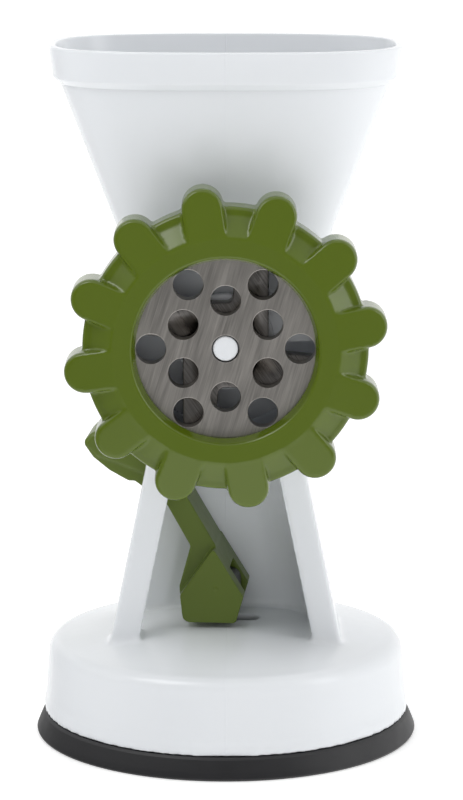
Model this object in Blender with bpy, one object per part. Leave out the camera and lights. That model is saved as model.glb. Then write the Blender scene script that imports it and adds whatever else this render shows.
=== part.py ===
"""A hand-crank meat mincer with a suction foot, in metres, +Z up.

The origin is the middle of the rubber foot's underside, where the mincer stands on a table. The plate and the
ring nut face -Y, the crank is at the back (+Y), and the suction lever swings out to the left (-X).
"""

import math

import bmesh
import bpy
from mathutils import Matrix, Vector

MM = 0.001
GAP = 0.3 * MM  # left between pieces that touch

# Foot and base
FOOT_R = 61 * MM
FOOT_TOP_Z = 6.9 * MM
BASE_BOTTOM_Z = FOOT_TOP_Z + GAP
BASE_BOTTOM_R = 58.5 * MM
BASE_TOP_R = 56.9 * MM
BASE_WALL = 2.6 * MM
EDGE_ROUND = 4.8 * MM
DOME_EDGE_Z = 31 * MM
DOME_TOP_Z = 36.3 * MM
SLOT_HALF_X = 10.4 * MM
SLOT_HALF_Y = 3.5 * MM

# Pedestal
PED_FRONT_Y = -22 * MM
PED_REAR_Y = 21 * MM
PED_INNER_REAR_Y = 16.2 * MM
PED_FOOT_Z = 31 * MM
PED_TOP_Z = 112 * MM
PED_HALF_WIDTH = 37 * MM  # at PED_FOOT_Z
PED_TAPER = 0.205  # half width lost for each unit of height
PED_WALL = 8.9 * MM
PED_ROOF_Z = 94 * MM
POST_DEPTH = 9.6 * MM
SIDE_OPENING_RIGHT_X = -14 * MM
SIDE_OPENING_REAR_Y = 15.4 * MM
SIDE_OPENING_TOP_Z = 103 * MM
SADDLE_SCREW_Y = (-13 * MM, 9 * MM)
SADDLE_HOLE_R = 2.4 * MM
BLIND_HOLE_R = 2.3 * MM

# Barrel and thread, along Y
AXIS_Z = 132.8 * MM
BARREL_R = 34 * MM
THREAD_R = 35.3 * MM
BARREL_FRONT_Y = -51.5 * MM
THREAD_REAR_Y = -40 * MM
BORE_R = 29.5 * MM
SEAT_R = 31.4 * MM
SEAT_Y = -45.7 * MM
BORE_REAR_Y = 30 * MM
BARREL_REAR_Y = 34 * MM
NECK_R = 13 * MM
NECK_REAR_Y = 44 * MM
BUSH_R = 10 * MM
JOURNAL_R = 7.5 * MM

# Hopper
RIM_HALF_X = 55 * MM
RIM_HALF_Y = 38.7 * MM
RIM_TOP_Z = 220.5 * MM
RIM_HEIGHT = 11.5 * MM
RIM_TAPER = 1.3 * MM  # half width lost from the rim's top to its foot
RIM_CHAMFER = 1.7 * MM
RIM_EDGE = 0.5 * MM
RIM_LAND = 1.6 * MM  # width of the flat top
RIM_STEP = 3.5 * MM
HOPPER_WALL = 2.5 * MM
THROAT_HALF_X = 33.6 * MM
THROAT_HALF_Y = 25 * MM
THROAT_TOP_Z = 162 * MM
HOPPER_FOOT_Z = 134 * MM
HOPPER_SQUARENESS = 2.8

# Ring nut and cutting parts
NUT_FRONT_Y = -57 * MM
NUT_REAR_Y = -41 * MM
NUT_LIP = 5 * MM
NUT_OPENING_R = 28.3 * MM
NUT_OPENING_REAR_R = 27.4 * MM
NUT_FLAT_R = 34.3 * MM
NUT_SLOPE_R = 40.6 * MM
NUT_SLOPE_Y = -52.5 * MM
NUT_BODY_R = 43.2 * MM
NUT_EDGE_ROUND = 2.2 * MM
THREAD_CLEARANCE = 0.5 * MM
LOBE_ROOT_R = 34 * MM
LOBE_OUTER_R = 49.3 * MM
LOBE_HALF_WIDTH = 6.3 * MM
LOBE_SINK = 0.06 * MM  # depth of a lobe's root below the nut's flat face
LOBE_FALL = 0.2  # depth lost by a lobe's face for each unit of radius
LOBE_EDGE = 0.8 * MM
LOBE_COUNT = 12
LOBE_TURN = math.radians(99.3)
PLATE_R = 31 * MM
PLATE_FRONT_Y = NUT_FRONT_Y + NUT_LIP + GAP
PLATE_REAR_Y = SEAT_Y - GAP
HOLE_R = 4.57 * MM
INNER_RING_R = 14.7 * MM
OUTER_RING_R = 22.5 * MM
KEY_R = 1.8 * MM
KEY_Z = AXIS_Z - PLATE_R + 0.5 * MM
PIN_R = 3.78 * MM
KNIFE_REAR_Y = -39.3 * MM
KNIFE_SQUARE = 9 * MM
KNIFE_HALF = 13 * MM  # from the axis to each blade's straight leading edge
BLADE_TIP_R = 28 * MM
BLADE_BACK_X = 8 * MM
BLADE_HEEL = (3.5 * MM, 27.7 * MM)
BLADE_ROOT_X = 2 * MM
AUGER_FRONT_Y = -39 * MM
AUGER_REAR_Y = 27.5 * MM
FLIGHT_R = 28.6 * MM
FLIGHT_TURNS = 2.75
FLIGHT_ROOT_R = 7 * MM
FLIGHT_THICKNESS = 4 * MM  # at its root
FLIGHT_TIP_THICKNESS = 1.25 * MM
FLIGHT_CLOSING = 0.25  # how much the pitch shortens towards the front
CORE_REAR_R = 11 * MM
WASHER_R = 15 * MM
DRIVE_SQUARE = 12 * MM
DRIVE_REAR_Y = 56.5 * MM
SCREW_HOLE_R = 3 * MM
SCREW_R = 2.6 * MM

# Crank
CRANK_RADIUS = 85 * MM
KNOB_Z = AXIS_Z - CRANK_RADIUS
HUB_FRONT_Y = 46.5 * MM
HUB_REAR_Y = 57.5 * MM
HUB_R = 13 * MM
HUB_FACE_Y = HUB_REAR_Y + 0.4 * MM
ARM_THICKNESS = 7 * MM
ARM_HALF_X_TOP = 8 * MM
ARM_HALF_X_LOW = 6.5 * MM
ARM_END_R = 9 * MM
KNOB_LENGTH = 56 * MM
KNOB_R = 12.5 * MM
KNOB_WAIST_R = 9.5 * MM
KNOB_RECESS_R = 5.6 * MM
KNOB_RECESS = 3 * MM
SPINDLE_R = 3 * MM
SPINDLE_HEAD_R = 5 * MM

# Suction lever, its stem and its cup
PIVOT_Z = 46.5 * MM
LEVER_YAW = math.radians(4.6)  # the lever, its pin and the stem's eye are turned by this about the stem
LEVER_HALF_Y = 14 * MM
LEVER_ARM_HALF_Y = 10 * MM
FORK_HALF_Y = 6.2 * MM
FORK_TOP_Z = 54 * MM
LEVER_PIN_R = 2 * MM
LEVER_PIN_FRONT = -11 * MM
LEVER_PIN_REAR = 13.6 * MM
STEM_R = 2.8 * MM
MEMBRANE = 2.4 * MM
PLATE_DISC_R = 30 * MM


def material(name, colour, roughness, metallic=0.0):
    """A Principled material of one colour."""
    found = bpy.data.materials.get(name)
    if found:
        return found
    made = bpy.data.materials.new(name)
    made.use_nodes = True
    shader = made.node_tree.nodes["Principled BSDF"]
    shader.inputs["Base Color"].default_value = (*colour, 1)
    shader.inputs["Roughness"].default_value = roughness
    shader.inputs["Metallic"].default_value = metallic
    return made


def white():
    return material("white_plastic", (0.86, 0.87, 0.88), 0.3)


def green():
    return material("green_plastic", (0.13, 0.19, 0.03), 0.3)


def steel():
    return material("steel", (0.55, 0.54, 0.52), 0.35, 1.0)


def rubber():
    return material("black_rubber", (0.02, 0.02, 0.02), 0.6)


def nylon():
    return material("grey_nylon", (0.55, 0.56, 0.56), 0.5)


def finish(name, mesh_data, finish_material, smooth_angle=35):
    """Turns a bmesh into a named object at the origin, with its faces out and its round parts smooth."""
    bmesh.ops.remove_doubles(mesh_data, verts=mesh_data.verts, dist=1e-6)
    bmesh.ops.recalc_face_normals(mesh_data, faces=mesh_data.faces)
    mesh = bpy.data.meshes.new(name)
    mesh_data.to_mesh(mesh)
    mesh_data.free()
    mesh.shade_smooth()
    mesh.set_sharp_from_angle(angle=math.radians(smooth_angle))
    mesh.materials.append(finish_material)
    made = bpy.data.objects.new(name, mesh)
    bpy.context.scene.collection.objects.link(made)
    return made


def boolean(target, tool, operation="DIFFERENCE"):
    """Cuts target with tool, or joins them, and hides the tool."""
    tool.hide_render = True
    tool.display_type = "WIRE"
    step = target.modifiers.new(tool.name, "BOOLEAN")
    step.operation = operation
    step.solver = "EXACT"
    step.object = tool
    return target


def turned(profile, segments=48):
    """A bmesh of a closed profile of (radius, height) points turned about Z."""
    made = bmesh.new()
    points = [made.verts.new((radius, 0, height)) for radius, height in profile]
    loop = points + [points[0]]
    edges = [made.edges.new(pair) for pair in zip(loop, loop[1:]) if not on_axis(*pair)]
    about = {"cent": (0, 0, 0), "axis": (0, 0, 1), "angle": math.tau}
    bmesh.ops.spin(made, geom=points + edges, steps=segments, use_merge=True, **about)
    return made


def on_axis(a, b):
    """Whether an edge between two vertices lies on the Z axis."""
    return abs(a.co.x) < 1e-9 and abs(b.co.x) < 1e-9


def lie_along_y(mesh_data, centre_x=0.0, centre_z=AXIS_Z):
    """Turns a shape made about Z to lie about a line along Y, so that its height becomes Y."""
    turn = Matrix(((1, 0, 0, centre_x), (0, 0, 1, 0), (0, -1, 0, centre_z), (0, 0, 0, 1)))
    bmesh.ops.transform(mesh_data, matrix=turn, verts=mesh_data.verts)
    return mesh_data


def rod(radius, start_y, end_y, centre_x=0.0, centre_z=AXIS_Z, segments=32):
    """A bmesh of a plain cylinder along Y."""
    profile = [(0, start_y), (radius, start_y), (radius, end_y), (0, end_y)]
    return lie_along_y(turned(profile, segments), centre_x, centre_z)


def box(low, high):
    """A bmesh of a box between two corners."""
    made = bmesh.new()
    bmesh.ops.create_cube(made, size=1)
    size = [b - a for a, b in zip(low, high)]
    middle = [(a + b) / 2 for a, b in zip(low, high)]
    bmesh.ops.scale(made, vec=size, verts=made.verts)
    bmesh.ops.translate(made, vec=middle, verts=made.verts)
    return made


def loft(rings):
    """A bmesh of rings of equally many points, joined in order and capped at both ends."""
    made = bmesh.new()
    loops = [[made.verts.new(point) for point in ring] for ring in rings]
    for lower, upper in zip(loops, loops[1:]):
        count = len(lower)
        for i in range(count):
            j = (i + 1) % count
            made.faces.new((lower[i], lower[j], upper[j], upper[i]))
    made.faces.new(list(reversed(loops[0])))
    made.faces.new(loops[-1])
    return made


def rounded_outline(corners, steps=4):
    """The points of a polygon whose corners, given as (x, z, radius), are rounded with arcs."""
    points = []
    count = len(corners)
    for i, (x, z, radius) in enumerate(corners):
        here = Vector((x, z))
        before = Vector(corners[i - 1][:2]) - here
        after = Vector(corners[(i + 1) % count][:2]) - here
        if radius <= 0:
            points.append((x, z))
            continue
        half = before.angle(after) / 2
        reach = min(radius / math.tan(half), before.length * 0.48, after.length * 0.48)
        start = here + before.normalized() * reach
        end = here + after.normalized() * reach
        for k in range(steps + 1):
            t = k / steps
            point = start * (1 - t) ** 2 + here * 2 * t * (1 - t) + end * t**2
            points.append((point.x, point.y))
    return points


def slab(outline, start_y, end_y):
    """A bmesh of an outline of (x, z) points given thickness along Y."""
    return loft([[(x, y, z) for x, z in outline] for y in (start_y, end_y)])


def merge(meshes):
    """One bmesh that holds several separate closed shapes."""
    made = bmesh.new()
    for shape in meshes:
        held = bpy.data.meshes.new("held")
        shape.to_mesh(held)
        shape.free()
        made.from_mesh(held)
        bpy.data.meshes.remove(held)
    return made


def about_axis(mesh_data, angle):
    """Turns a shape about the barrel's axis."""
    turn = Matrix.Rotation(-angle, 4, "Y")
    bmesh.ops.rotate(mesh_data, cent=(0, 0, AXIS_Z), matrix=turn, verts=mesh_data.verts)
    return mesh_data


def aslant(mesh_data):
    """Turns a shape about the stem by the lever's yaw."""
    turn = Matrix.Rotation(-LEVER_YAW, 4, "Z")
    bmesh.ops.transform(mesh_data, matrix=turn, verts=mesh_data.verts)
    return mesh_data


def upright_hole(radius, low, high, y):
    """A bmesh of a small cylinder along Z for a screw hole."""
    hole = turned([(0, low), (radius, low), (radius, high), (0, high)], 16)
    bmesh.ops.translate(hole, vec=(0, y, 0), verts=hole.verts)
    return hole


# --- stand -------------------------------------------------------------------------------------------------


def base_profile(inset, round_steps, dome_steps):
    """The base's outline from its bottom edge to the middle of the dome, moved in by inset."""
    centre_r, centre_z = BASE_TOP_R - EDGE_ROUND, DOME_EDGE_Z - EDGE_ROUND
    points = [(BASE_BOTTOM_R - inset, BASE_BOTTOM_Z)]
    for k in range(round_steps + 1):
        angle = math.radians(4 + 86 * k / round_steps)
        reach = EDGE_ROUND - inset
        points.append((centre_r + reach * math.cos(angle), centre_z + reach * math.sin(angle)))
    for k in range(1, dome_steps + 1):
        radius = centre_r * (1 - k / dome_steps)
        rise = (DOME_TOP_Z - DOME_EDGE_Z) * (1 - (radius / centre_r) ** 2)
        points.append((radius, DOME_EDGE_Z + rise - inset))
    return points


def pedestal_ring(z, wall=0.0, front_y=PED_FRONT_Y, rear_y=PED_REAR_Y):
    """One level of the pedestal: flat at the front, with round rear corners."""
    half = PED_HALF_WIDTH - PED_TAPER * (z - PED_FOOT_Z) - wall
    corner = 11 * MM if wall else 15 * MM
    corners = [
        (-half, front_y, 1.5 * MM if not wall else 0),
        (half, front_y, 1.5 * MM if not wall else 0),
        (half, rear_y, corner),
        (-half, rear_y, corner),
    ]
    steps = 5
    return [(x, y, z) for x, y in rounded_outline(corners, steps)]


def suction_stand():
    """The round base and the pedestal with its open front and its lever opening at the left."""
    heights = (PED_FOOT_Z, 72 * MM, PED_TOP_Z)
    stand = finish("suction_stand", loft([pedestal_ring(z) for z in heights]), white())
    levels = (PED_FOOT_Z - 8 * MM, PED_ROOF_Z)
    inner = [pedestal_ring(z, PED_WALL, PED_FRONT_Y - 8 * MM, PED_INNER_REAR_Y) for z in levels]
    boolean(stand, finish("recess_cutter", loft(inner), white()))
    opening_low = (-FOOT_R, PED_FRONT_Y + POST_DEPTH, PED_FOOT_Z - 9 * MM)
    opening = box(opening_low, (SIDE_OPENING_RIGHT_X, SIDE_OPENING_REAR_Y, SIDE_OPENING_TOP_Z))
    boolean(stand, finish("lever_opening_cutter", opening, white()))
    shell = base_profile(0, 4, 3) + list(reversed(base_profile(BASE_WALL, 2, 2)))
    boolean(stand, finish("base_shell_tool", turned(shell, 56), white()), "UNION")
    boolean(stand, finish("saddle_cutter", rod(BARREL_R + GAP, -60 * MM, 60 * MM, segments=48), white()))
    boolean(stand, finish("slot_cutter", slot_shape(), white()))
    for y in SADDLE_SCREW_Y:
        hole = upright_hole(SADDLE_HOLE_R, PED_ROOF_Z - 14 * MM, PED_TOP_Z, y)
        boolean(stand, finish("saddle_hole_cutter", hole, white()))
    return stand


def slot_shape():
    """The long slot in the floor that the stem comes up through."""
    corners = [
        (-SLOT_HALF_X, -SLOT_HALF_Y, SLOT_HALF_Y),
        (SLOT_HALF_X, -SLOT_HALF_Y, SLOT_HALF_Y),
        (SLOT_HALF_X, SLOT_HALF_Y, SLOT_HALF_Y),
        (-SLOT_HALF_X, SLOT_HALF_Y, SLOT_HALF_Y),
    ]
    outline = rounded_outline(corners, 3)
    return loft([[(x, y, z) for x, y in outline] for z in (DOME_TOP_Z - 8 * MM, DOME_TOP_Z + 4 * MM)])


def saddle_screws():
    """Two pan-head screws up through the pedestal's roof into the barrel."""
    for name, y in zip(("saddle_screw_front", "saddle_screw_rear"), SADDLE_SCREW_Y):
        head_top = PED_ROOF_Z - GAP
        profile = [
            (0, head_top - 2.8 * MM),
            (3 * MM, head_top - 2.6 * MM),
            (4 * MM, head_top - 1.6 * MM),
            (4 * MM, head_top),
            (2 * MM, head_top),
            (2 * MM, AXIS_Z - BARREL_R + 2.6 * MM),
            (0, AXIS_Z - BARREL_R + 2.6 * MM),
        ]
        shape = turned(profile, 20)
        bmesh.ops.translate(shape, vec=(0, y, 0), verts=shape.verts)
        finish(name, shape, steel())


# --- hopper and barrel -------------------------------------------------------------------------------------


def hopper_ring(half_x, half_y, z, count=44):
    """One level of the hopper, a rounded rectangle drawn as a superellipse."""
    power = 2 / HOPPER_SQUARENESS
    ring = []
    for i in range(count):
        angle = math.tau * i / count
        c, s = math.cos(angle), math.sin(angle)
        x = half_x * math.copysign(abs(c) ** power, c)
        y = half_y * math.copysign(abs(s) ** power, s)
        ring.append((x, y, z))
    return ring


def hopper_outer():
    """The hopper's outside, from inside the barrel to the top of its stepped rim."""
    foot = RIM_TOP_Z - RIM_HEIGHT
    sizes = [
        (RIM_STEP, foot),
        (RIM_TAPER + RIM_CHAMFER - 0.2 * MM, foot + 0.1 * MM),
        (RIM_TAPER, foot + RIM_CHAMFER),
        (0, RIM_TOP_Z - RIM_EDGE),
        (RIM_EDGE, RIM_TOP_Z),
    ]
    levels = [
        (THROAT_HALF_X - 0.6 * MM, THROAT_HALF_Y, HOPPER_FOOT_Z),
        (THROAT_HALF_X, THROAT_HALF_Y, THROAT_TOP_Z),
    ]
    levels += [(RIM_HALF_X - inset, RIM_HALF_Y - inset, z) for inset, z in sizes]
    return loft([hopper_ring(*level) for level in levels])


def hopper_inner():
    """The space inside the hopper, down to the barrel's bore; it widens again behind the rim."""
    foot = RIM_TOP_Z - RIM_HEIGHT
    top_inset = RIM_EDGE + RIM_LAND
    sizes = [
        (RIM_STEP + HOPPER_WALL, foot - 1 * MM),
        (RIM_TAPER + HOPPER_WALL, foot + 2 * MM),
        (top_inset, RIM_TOP_Z),
        (top_inset - 0.1 * MM, RIM_TOP_Z + 1 * MM),
    ]
    throat_y = THROAT_HALF_Y - HOPPER_WALL
    levels = [
        (THROAT_HALF_X - 5 * MM, throat_y - 1 * MM, HOPPER_FOOT_Z - 4 * MM),
        (THROAT_HALF_X - HOPPER_WALL, throat_y, THROAT_TOP_Z),
    ]
    levels += [(RIM_HALF_X - inset, RIM_HALF_Y - inset, z) for inset, z in sizes]
    return loft([hopper_ring(*level) for level in levels])


def feed_housing():
    """The hopper and the barrel in one moulding, with the nut's thread land and the rear bearing neck."""
    outside = [
        (0, BARREL_FRONT_Y),
        (THREAD_R - 1 * MM, BARREL_FRONT_Y),
        (THREAD_R, BARREL_FRONT_Y + 1 * MM),
        (THREAD_R, THREAD_REAR_Y),
        (BARREL_R, THREAD_REAR_Y + 1 * MM),
        (BARREL_R, BARREL_REAR_Y - 3 * MM),
        (BARREL_R - 3 * MM, BARREL_REAR_Y),
        (NECK_R, BARREL_REAR_Y),
        (NECK_R, NECK_REAR_Y),
        (0, NECK_REAR_Y),
    ]
    bore = [
        (0, BARREL_FRONT_Y - 5 * MM),
        (SEAT_R, BARREL_FRONT_Y - 5 * MM),
        (SEAT_R, SEAT_Y),
        (BORE_R, SEAT_Y),
        (BORE_R, BORE_REAR_Y),
        (BUSH_R + GAP, BORE_REAR_Y),
        (BUSH_R + GAP, NECK_REAR_Y + 5 * MM),
        (0, NECK_REAR_Y + 5 * MM),
    ]
    housing = finish("feed_housing", lie_along_y(turned(outside, 48)), white())
    boolean(housing, finish("hopper_tool", hopper_outer(), white()), "UNION")
    for y in SADDLE_SCREW_Y:
        underside = AXIS_Z - BARREL_R
        hole = upright_hole(BLIND_HOLE_R, underside - 2 * MM, underside + 3 * MM, y)
        boolean(housing, finish("blind_hole_cutter", hole, white()))
    key_hole = rod(KEY_R + GAP, BARREL_FRONT_Y + 1 * MM, SEAT_Y + 4.3 * MM, centre_z=KEY_Z, segments=14)
    boolean(housing, finish("key_hole_cutter", key_hole, white()))
    boolean(housing, finish("hopper_cutter", hopper_inner(), white()))
    boolean(housing, finish("bore_cutter", lie_along_y(turned(bore, 48)), white()))
    return housing


def plate_key():
    """The small pin in the barrel's mouth that stops the cutting plate from turning."""
    shape = rod(KEY_R, BARREL_FRONT_Y + 1.5 * MM, SEAT_Y + 4 * MM, centre_z=KEY_Z, segments=12)
    finish("plate_key", shape, steel())


def bearing_bush():
    """The bush in the rear neck that the auger's journal runs in."""
    profile = [
        (JOURNAL_R + GAP, BORE_REAR_Y + GAP),
        (BUSH_R, BORE_REAR_Y + GAP),
        (BUSH_R, NECK_REAR_Y - GAP),
        (JOURNAL_R + GAP, NECK_REAR_Y - GAP),
    ]
    finish("bearing_bush", lie_along_y(turned(profile, 36)), nylon())


# --- nut, plate and knife ----------------------------------------------------------------------------------


def ring_nut():
    """The round nut with finger lobes that holds the plate against the barrel."""
    bore_r = THREAD_R + THREAD_CLEARANCE
    lip_y = NUT_FRONT_Y + NUT_LIP
    profile = [
        (NUT_OPENING_R + 0.5 * MM, NUT_FRONT_Y),
        (NUT_FLAT_R, NUT_FRONT_Y),
        (NUT_SLOPE_R, NUT_SLOPE_Y),
        (NUT_BODY_R - NUT_EDGE_ROUND * 0.35, NUT_SLOPE_Y + NUT_EDGE_ROUND * 0.4),
        (NUT_BODY_R, NUT_SLOPE_Y + NUT_EDGE_ROUND),
        (NUT_BODY_R, NUT_REAR_Y),
        (bore_r, NUT_REAR_Y),
        (bore_r, lip_y),
        (NUT_OPENING_REAR_R, lip_y),
        (NUT_OPENING_R, NUT_FRONT_Y + 0.6 * MM),
    ]
    nut = finish("ring_nut", lie_along_y(turned(profile, 48)), green())
    lobes = [about_axis(lobe_shape(), LOBE_TURN + math.tau * i / LOBE_COUNT) for i in range(LOBE_COUNT)]
    boolean(nut, finish("lobes_tool", merge(lobes), green()), "UNION")
    clear = [(0, lip_y), (bore_r, lip_y), (bore_r, NUT_REAR_Y + 5 * MM), (0, NUT_REAR_Y + 5 * MM)]
    boolean(nut, finish("thread_bore_cutter", lie_along_y(turned(clear, 48)), green()))
    return nut


def lobe_shape():
    """One finger lobe on the +X side: a round-ended bar whose face falls away towards its tip."""

    def outline(inset):
        width = LOBE_HALF_WIDTH - inset
        tip = LOBE_OUTER_R - LOBE_HALF_WIDTH
        points = [(LOBE_ROOT_R, AXIS_Z - width)]
        for k in range(7):
            angle = math.radians(-90 + 180 * k / 6)
            points.append((tip + width * math.cos(angle), AXIS_Z + width * math.sin(angle)))
        points.append((LOBE_ROOT_R, AXIS_Z + width))
        return points

    def face_y(x):
        return NUT_FRONT_Y + LOBE_SINK + LOBE_FALL * (x - LOBE_ROOT_R)

    face = [(x, face_y(x), z) for x, z in outline(LOBE_EDGE)]
    edge = [(x, face_y(x) + LOBE_EDGE, z) for x, z in outline(0)]
    rear = [(x, NUT_REAR_Y, z) for x, z in outline(0)]
    return loft([face, edge, rear])


def hole_places():
    """The centres of the plate's holes, as (x, z) about the barrel's axis."""
    inner = [(INNER_RING_R, math.radians(30 + 60 * i)) for i in range(6)]
    outer = [(OUTER_RING_R, math.radians(60 * i)) for i in range(6)]
    return [(radius * math.cos(angle), AXIS_Z + radius * math.sin(angle)) for radius, angle in inner + outer]


def cutting_plate():
    """The steel plate with its large holes, its centre hole and its keyway."""
    plate = finish("cutting_plate", rod(PLATE_R, PLATE_FRONT_Y, PLATE_REAR_Y, segments=48), steel())
    start, end = PLATE_FRONT_Y - 1 * MM, PLATE_REAR_Y + 1 * MM
    holes = [rod(HOLE_R, start, end, x, z, 16) for x, z in hole_places()]
    holes.append(rod(PIN_R + 0.4 * MM, start, end, segments=16))
    holes.append(rod(KEY_R + 0.4 * MM, start, end, 0, KEY_Z, 12))
    boolean(plate, finish("plate_cutter", merge(holes), steel()))
    return plate


def knife():
    """The cross knife behind the plate: four blades round a square hub, and a square eye."""
    lead = (KNIFE_HALF, math.sqrt(BLADE_TIP_R**2 - KNIFE_HALF**2))
    back = (BLADE_BACK_X, math.sqrt(BLADE_TIP_R**2 - BLADE_BACK_X**2))
    blade = [lead, back, BLADE_HEEL, (BLADE_ROOT_X, KNIFE_HALF)]
    points = []
    for i in range(4):
        c, s = math.cos(math.tau * i / 4), math.sin(math.tau * i / 4)
        points += [(x * c - z * s, AXIS_Z + x * s + z * c) for x, z in blade]
    blades = finish("knife", slab(points, PLATE_REAR_Y + GAP, KNIFE_REAR_Y), steel())
    half = KNIFE_SQUARE / 2 + GAP
    eye = box((-half, PLATE_REAR_Y - 5 * MM, AXIS_Z - half), (half, KNIFE_REAR_Y + 5 * MM, AXIS_Z + half))
    boolean(blades, finish("knife_eye_cutter", eye, steel()))
    return blades


# --- auger and crank ---------------------------------------------------------------------------------------


def auger_flight():
    """The screw flight, a bar bent round a helix, with its root inside the core."""
    steps = 44
    travel = AUGER_REAR_Y - AUGER_FRONT_Y - FLIGHT_THICKNESS
    root, tip = FLIGHT_THICKNESS / 2, FLIGHT_TIP_THICKNESS / 2
    section = ((FLIGHT_ROOT_R, root), (FLIGHT_R, tip), (FLIGHT_R, -tip), (FLIGHT_ROOT_R, -root))
    rings = []
    for i in range(steps + 1):
        t = i / steps
        angle = math.tau * FLIGHT_TURNS * t
        y = AUGER_FRONT_Y + root + travel * ((1 - FLIGHT_CLOSING) * t + FLIGHT_CLOSING * t * t)
        rings.append([(r * math.cos(angle), y + shift, AXIS_Z + r * math.sin(angle)) for r, shift in section])
    return loft(rings)


def auger():
    """The feed screw: a front pin, a square for the knife, the flight, a journal and the crank's square."""
    core = [
        (0, PLATE_FRONT_Y + 0.5 * MM),
        (PIN_R - 0.5 * MM, PLATE_FRONT_Y + 0.5 * MM),
        (PIN_R, PLATE_FRONT_Y + 1 * MM),
        (PIN_R, KNIFE_REAR_Y - 2 * MM),
        (PIN_R, AUGER_FRONT_Y),
        (WASHER_R, AUGER_FRONT_Y),
        (CORE_REAR_R, AUGER_REAR_Y),
        (JOURNAL_R, AUGER_REAR_Y),
        (JOURNAL_R, NECK_REAR_Y + 0.6 * MM),
        (5 * MM, NECK_REAR_Y + 0.6 * MM),
        (5 * MM, DRIVE_REAR_Y - 1 * MM),
        (0, DRIVE_REAR_Y - 1 * MM),
    ]
    screw = finish("auger", lie_along_y(turned(core, 28)), white())
    boolean(screw, finish("flight_tool", auger_flight(), white()), "UNION")
    half = KNIFE_SQUARE / 2
    square_low = (-half, PLATE_REAR_Y + 0.5 * MM, AXIS_Z - half)
    square = box(square_low, (half, AUGER_FRONT_Y + 2 * MM, AXIS_Z + half))
    boolean(screw, finish("knife_square_tool", square, white()), "UNION")
    half = DRIVE_SQUARE / 2
    drive = box((-half, NECK_REAR_Y, AXIS_Z - half), (half, DRIVE_REAR_Y, AXIS_Z + half))
    boolean(screw, finish("drive_square_tool", drive, white()), "UNION")
    bore = rod(SCREW_HOLE_R, NECK_REAR_Y + 2 * MM, DRIVE_REAR_Y + 4 * MM, segments=16)
    boolean(screw, finish("screw_bore_cutter", bore, white()))
    return screw


def thrust_washer():
    """The washer that takes the auger's push against the barrel's rear wall."""
    profile = [
        (JOURNAL_R + GAP, AUGER_REAR_Y + GAP),
        (WASHER_R, AUGER_REAR_Y + GAP),
        (WASHER_R, BORE_REAR_Y - GAP),
        (JOURNAL_R + GAP, BORE_REAR_Y - GAP),
    ]
    finish("thrust_washer", lie_along_y(turned(profile, 36)), nylon())


def crank_arm():
    """The crank arm, hanging straight down from its hub."""
    outline = [(-ARM_HALF_X_TOP, AXIS_Z), (-ARM_HALF_X_LOW, KNOB_Z)]
    for k in range(9):
        angle = math.radians(190 + 160 * k / 8)
        outline.append((ARM_END_R * math.cos(angle), KNOB_Z + ARM_END_R * math.sin(angle)))
    outline += [(ARM_HALF_X_LOW, KNOB_Z), (ARM_HALF_X_TOP, AXIS_Z)]
    arm_y = (HUB_REAR_Y - ARM_THICKNESS, HUB_REAR_Y)
    arm = finish("crank_arm", slab(outline, *arm_y), white())
    boolean(arm, finish("hub_tool", rod(HUB_R, HUB_FRONT_Y, HUB_FACE_Y, segments=36), white()), "UNION")
    hole = rod(SCREW_HOLE_R, HUB_FRONT_Y + 4 * MM, HUB_FACE_Y + 4 * MM, segments=16)
    boolean(arm, finish("hub_hole_cutter", hole, white()))
    seat = rod(SPINDLE_R + GAP, arm_y[0] + 2 * MM, arm_y[1] + 2 * MM, 0, KNOB_Z, 16)
    boolean(arm, finish("spindle_seat_cutter", seat, white()))
    half = DRIVE_SQUARE / 2 + GAP
    eye = box((-half, HUB_FRONT_Y - 2 * MM, AXIS_Z - half), (half, DRIVE_REAR_Y + 0.6 * MM, AXIS_Z + half))
    boolean(arm, finish("hub_eye_cutter", eye, white()))
    return arm


def crank_screw():
    """The finger screw that holds the crank on the auger's square."""
    face = HUB_FACE_Y + GAP
    profile = [
        (0, HUB_FRONT_Y + 0.5 * MM),
        (SCREW_R, HUB_FRONT_Y + 0.5 * MM),
        (SCREW_R, face),
        (9 * MM, face),
        (9 * MM, face + 2 * MM),
        (6 * MM, face + 3 * MM),
        (6 * MM, face + 9 * MM),
        (5 * MM, face + 10 * MM),
        (0, face + 10 * MM),
    ]
    screw = finish("crank_screw", lie_along_y(turned(profile, 28)), green())
    wing = box((-13 * MM, face + 2 * MM, AXIS_Z - 1.8 * MM), (13 * MM, face + 9 * MM, AXIS_Z + 1.8 * MM))
    bmesh.ops.bevel(wing, geom=wing.edges[:], offset=1.2 * MM, segments=2, profile=0.5, affect="EDGES")
    boolean(screw, finish("wing_tool", wing, green()), "UNION")
    return screw


def crank_knob():
    """The turning knob, with a bore through it and a recess at its end for the spindle's head."""
    front = HUB_REAR_Y + 1 * MM
    rear = front + KNOB_LENGTH
    bore_r = SPINDLE_R + GAP
    profile = [(bore_r, front), (KNOB_WAIST_R - 1 * MM, front), (KNOB_WAIST_R, front + 1 * MM)]
    for k in range(1, 6):
        t = k / 6
        swell = (KNOB_R - KNOB_WAIST_R) * math.sin(math.pi * t * 0.62)
        profile.append((KNOB_WAIST_R + swell, front + KNOB_LENGTH * 0.9 * t))
    profile += [
        (KNOB_R * 0.94, rear - 4 * MM),
        (KNOB_R * 0.8, rear - 1.2 * MM),
        (7 * MM, rear),
        (KNOB_RECESS_R, rear),
        (KNOB_RECESS_R, rear - KNOB_RECESS),
        (bore_r, rear - KNOB_RECESS),
    ]
    finish("crank_knob", lie_along_y(turned(profile, 24), 0, KNOB_Z), green())


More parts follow.
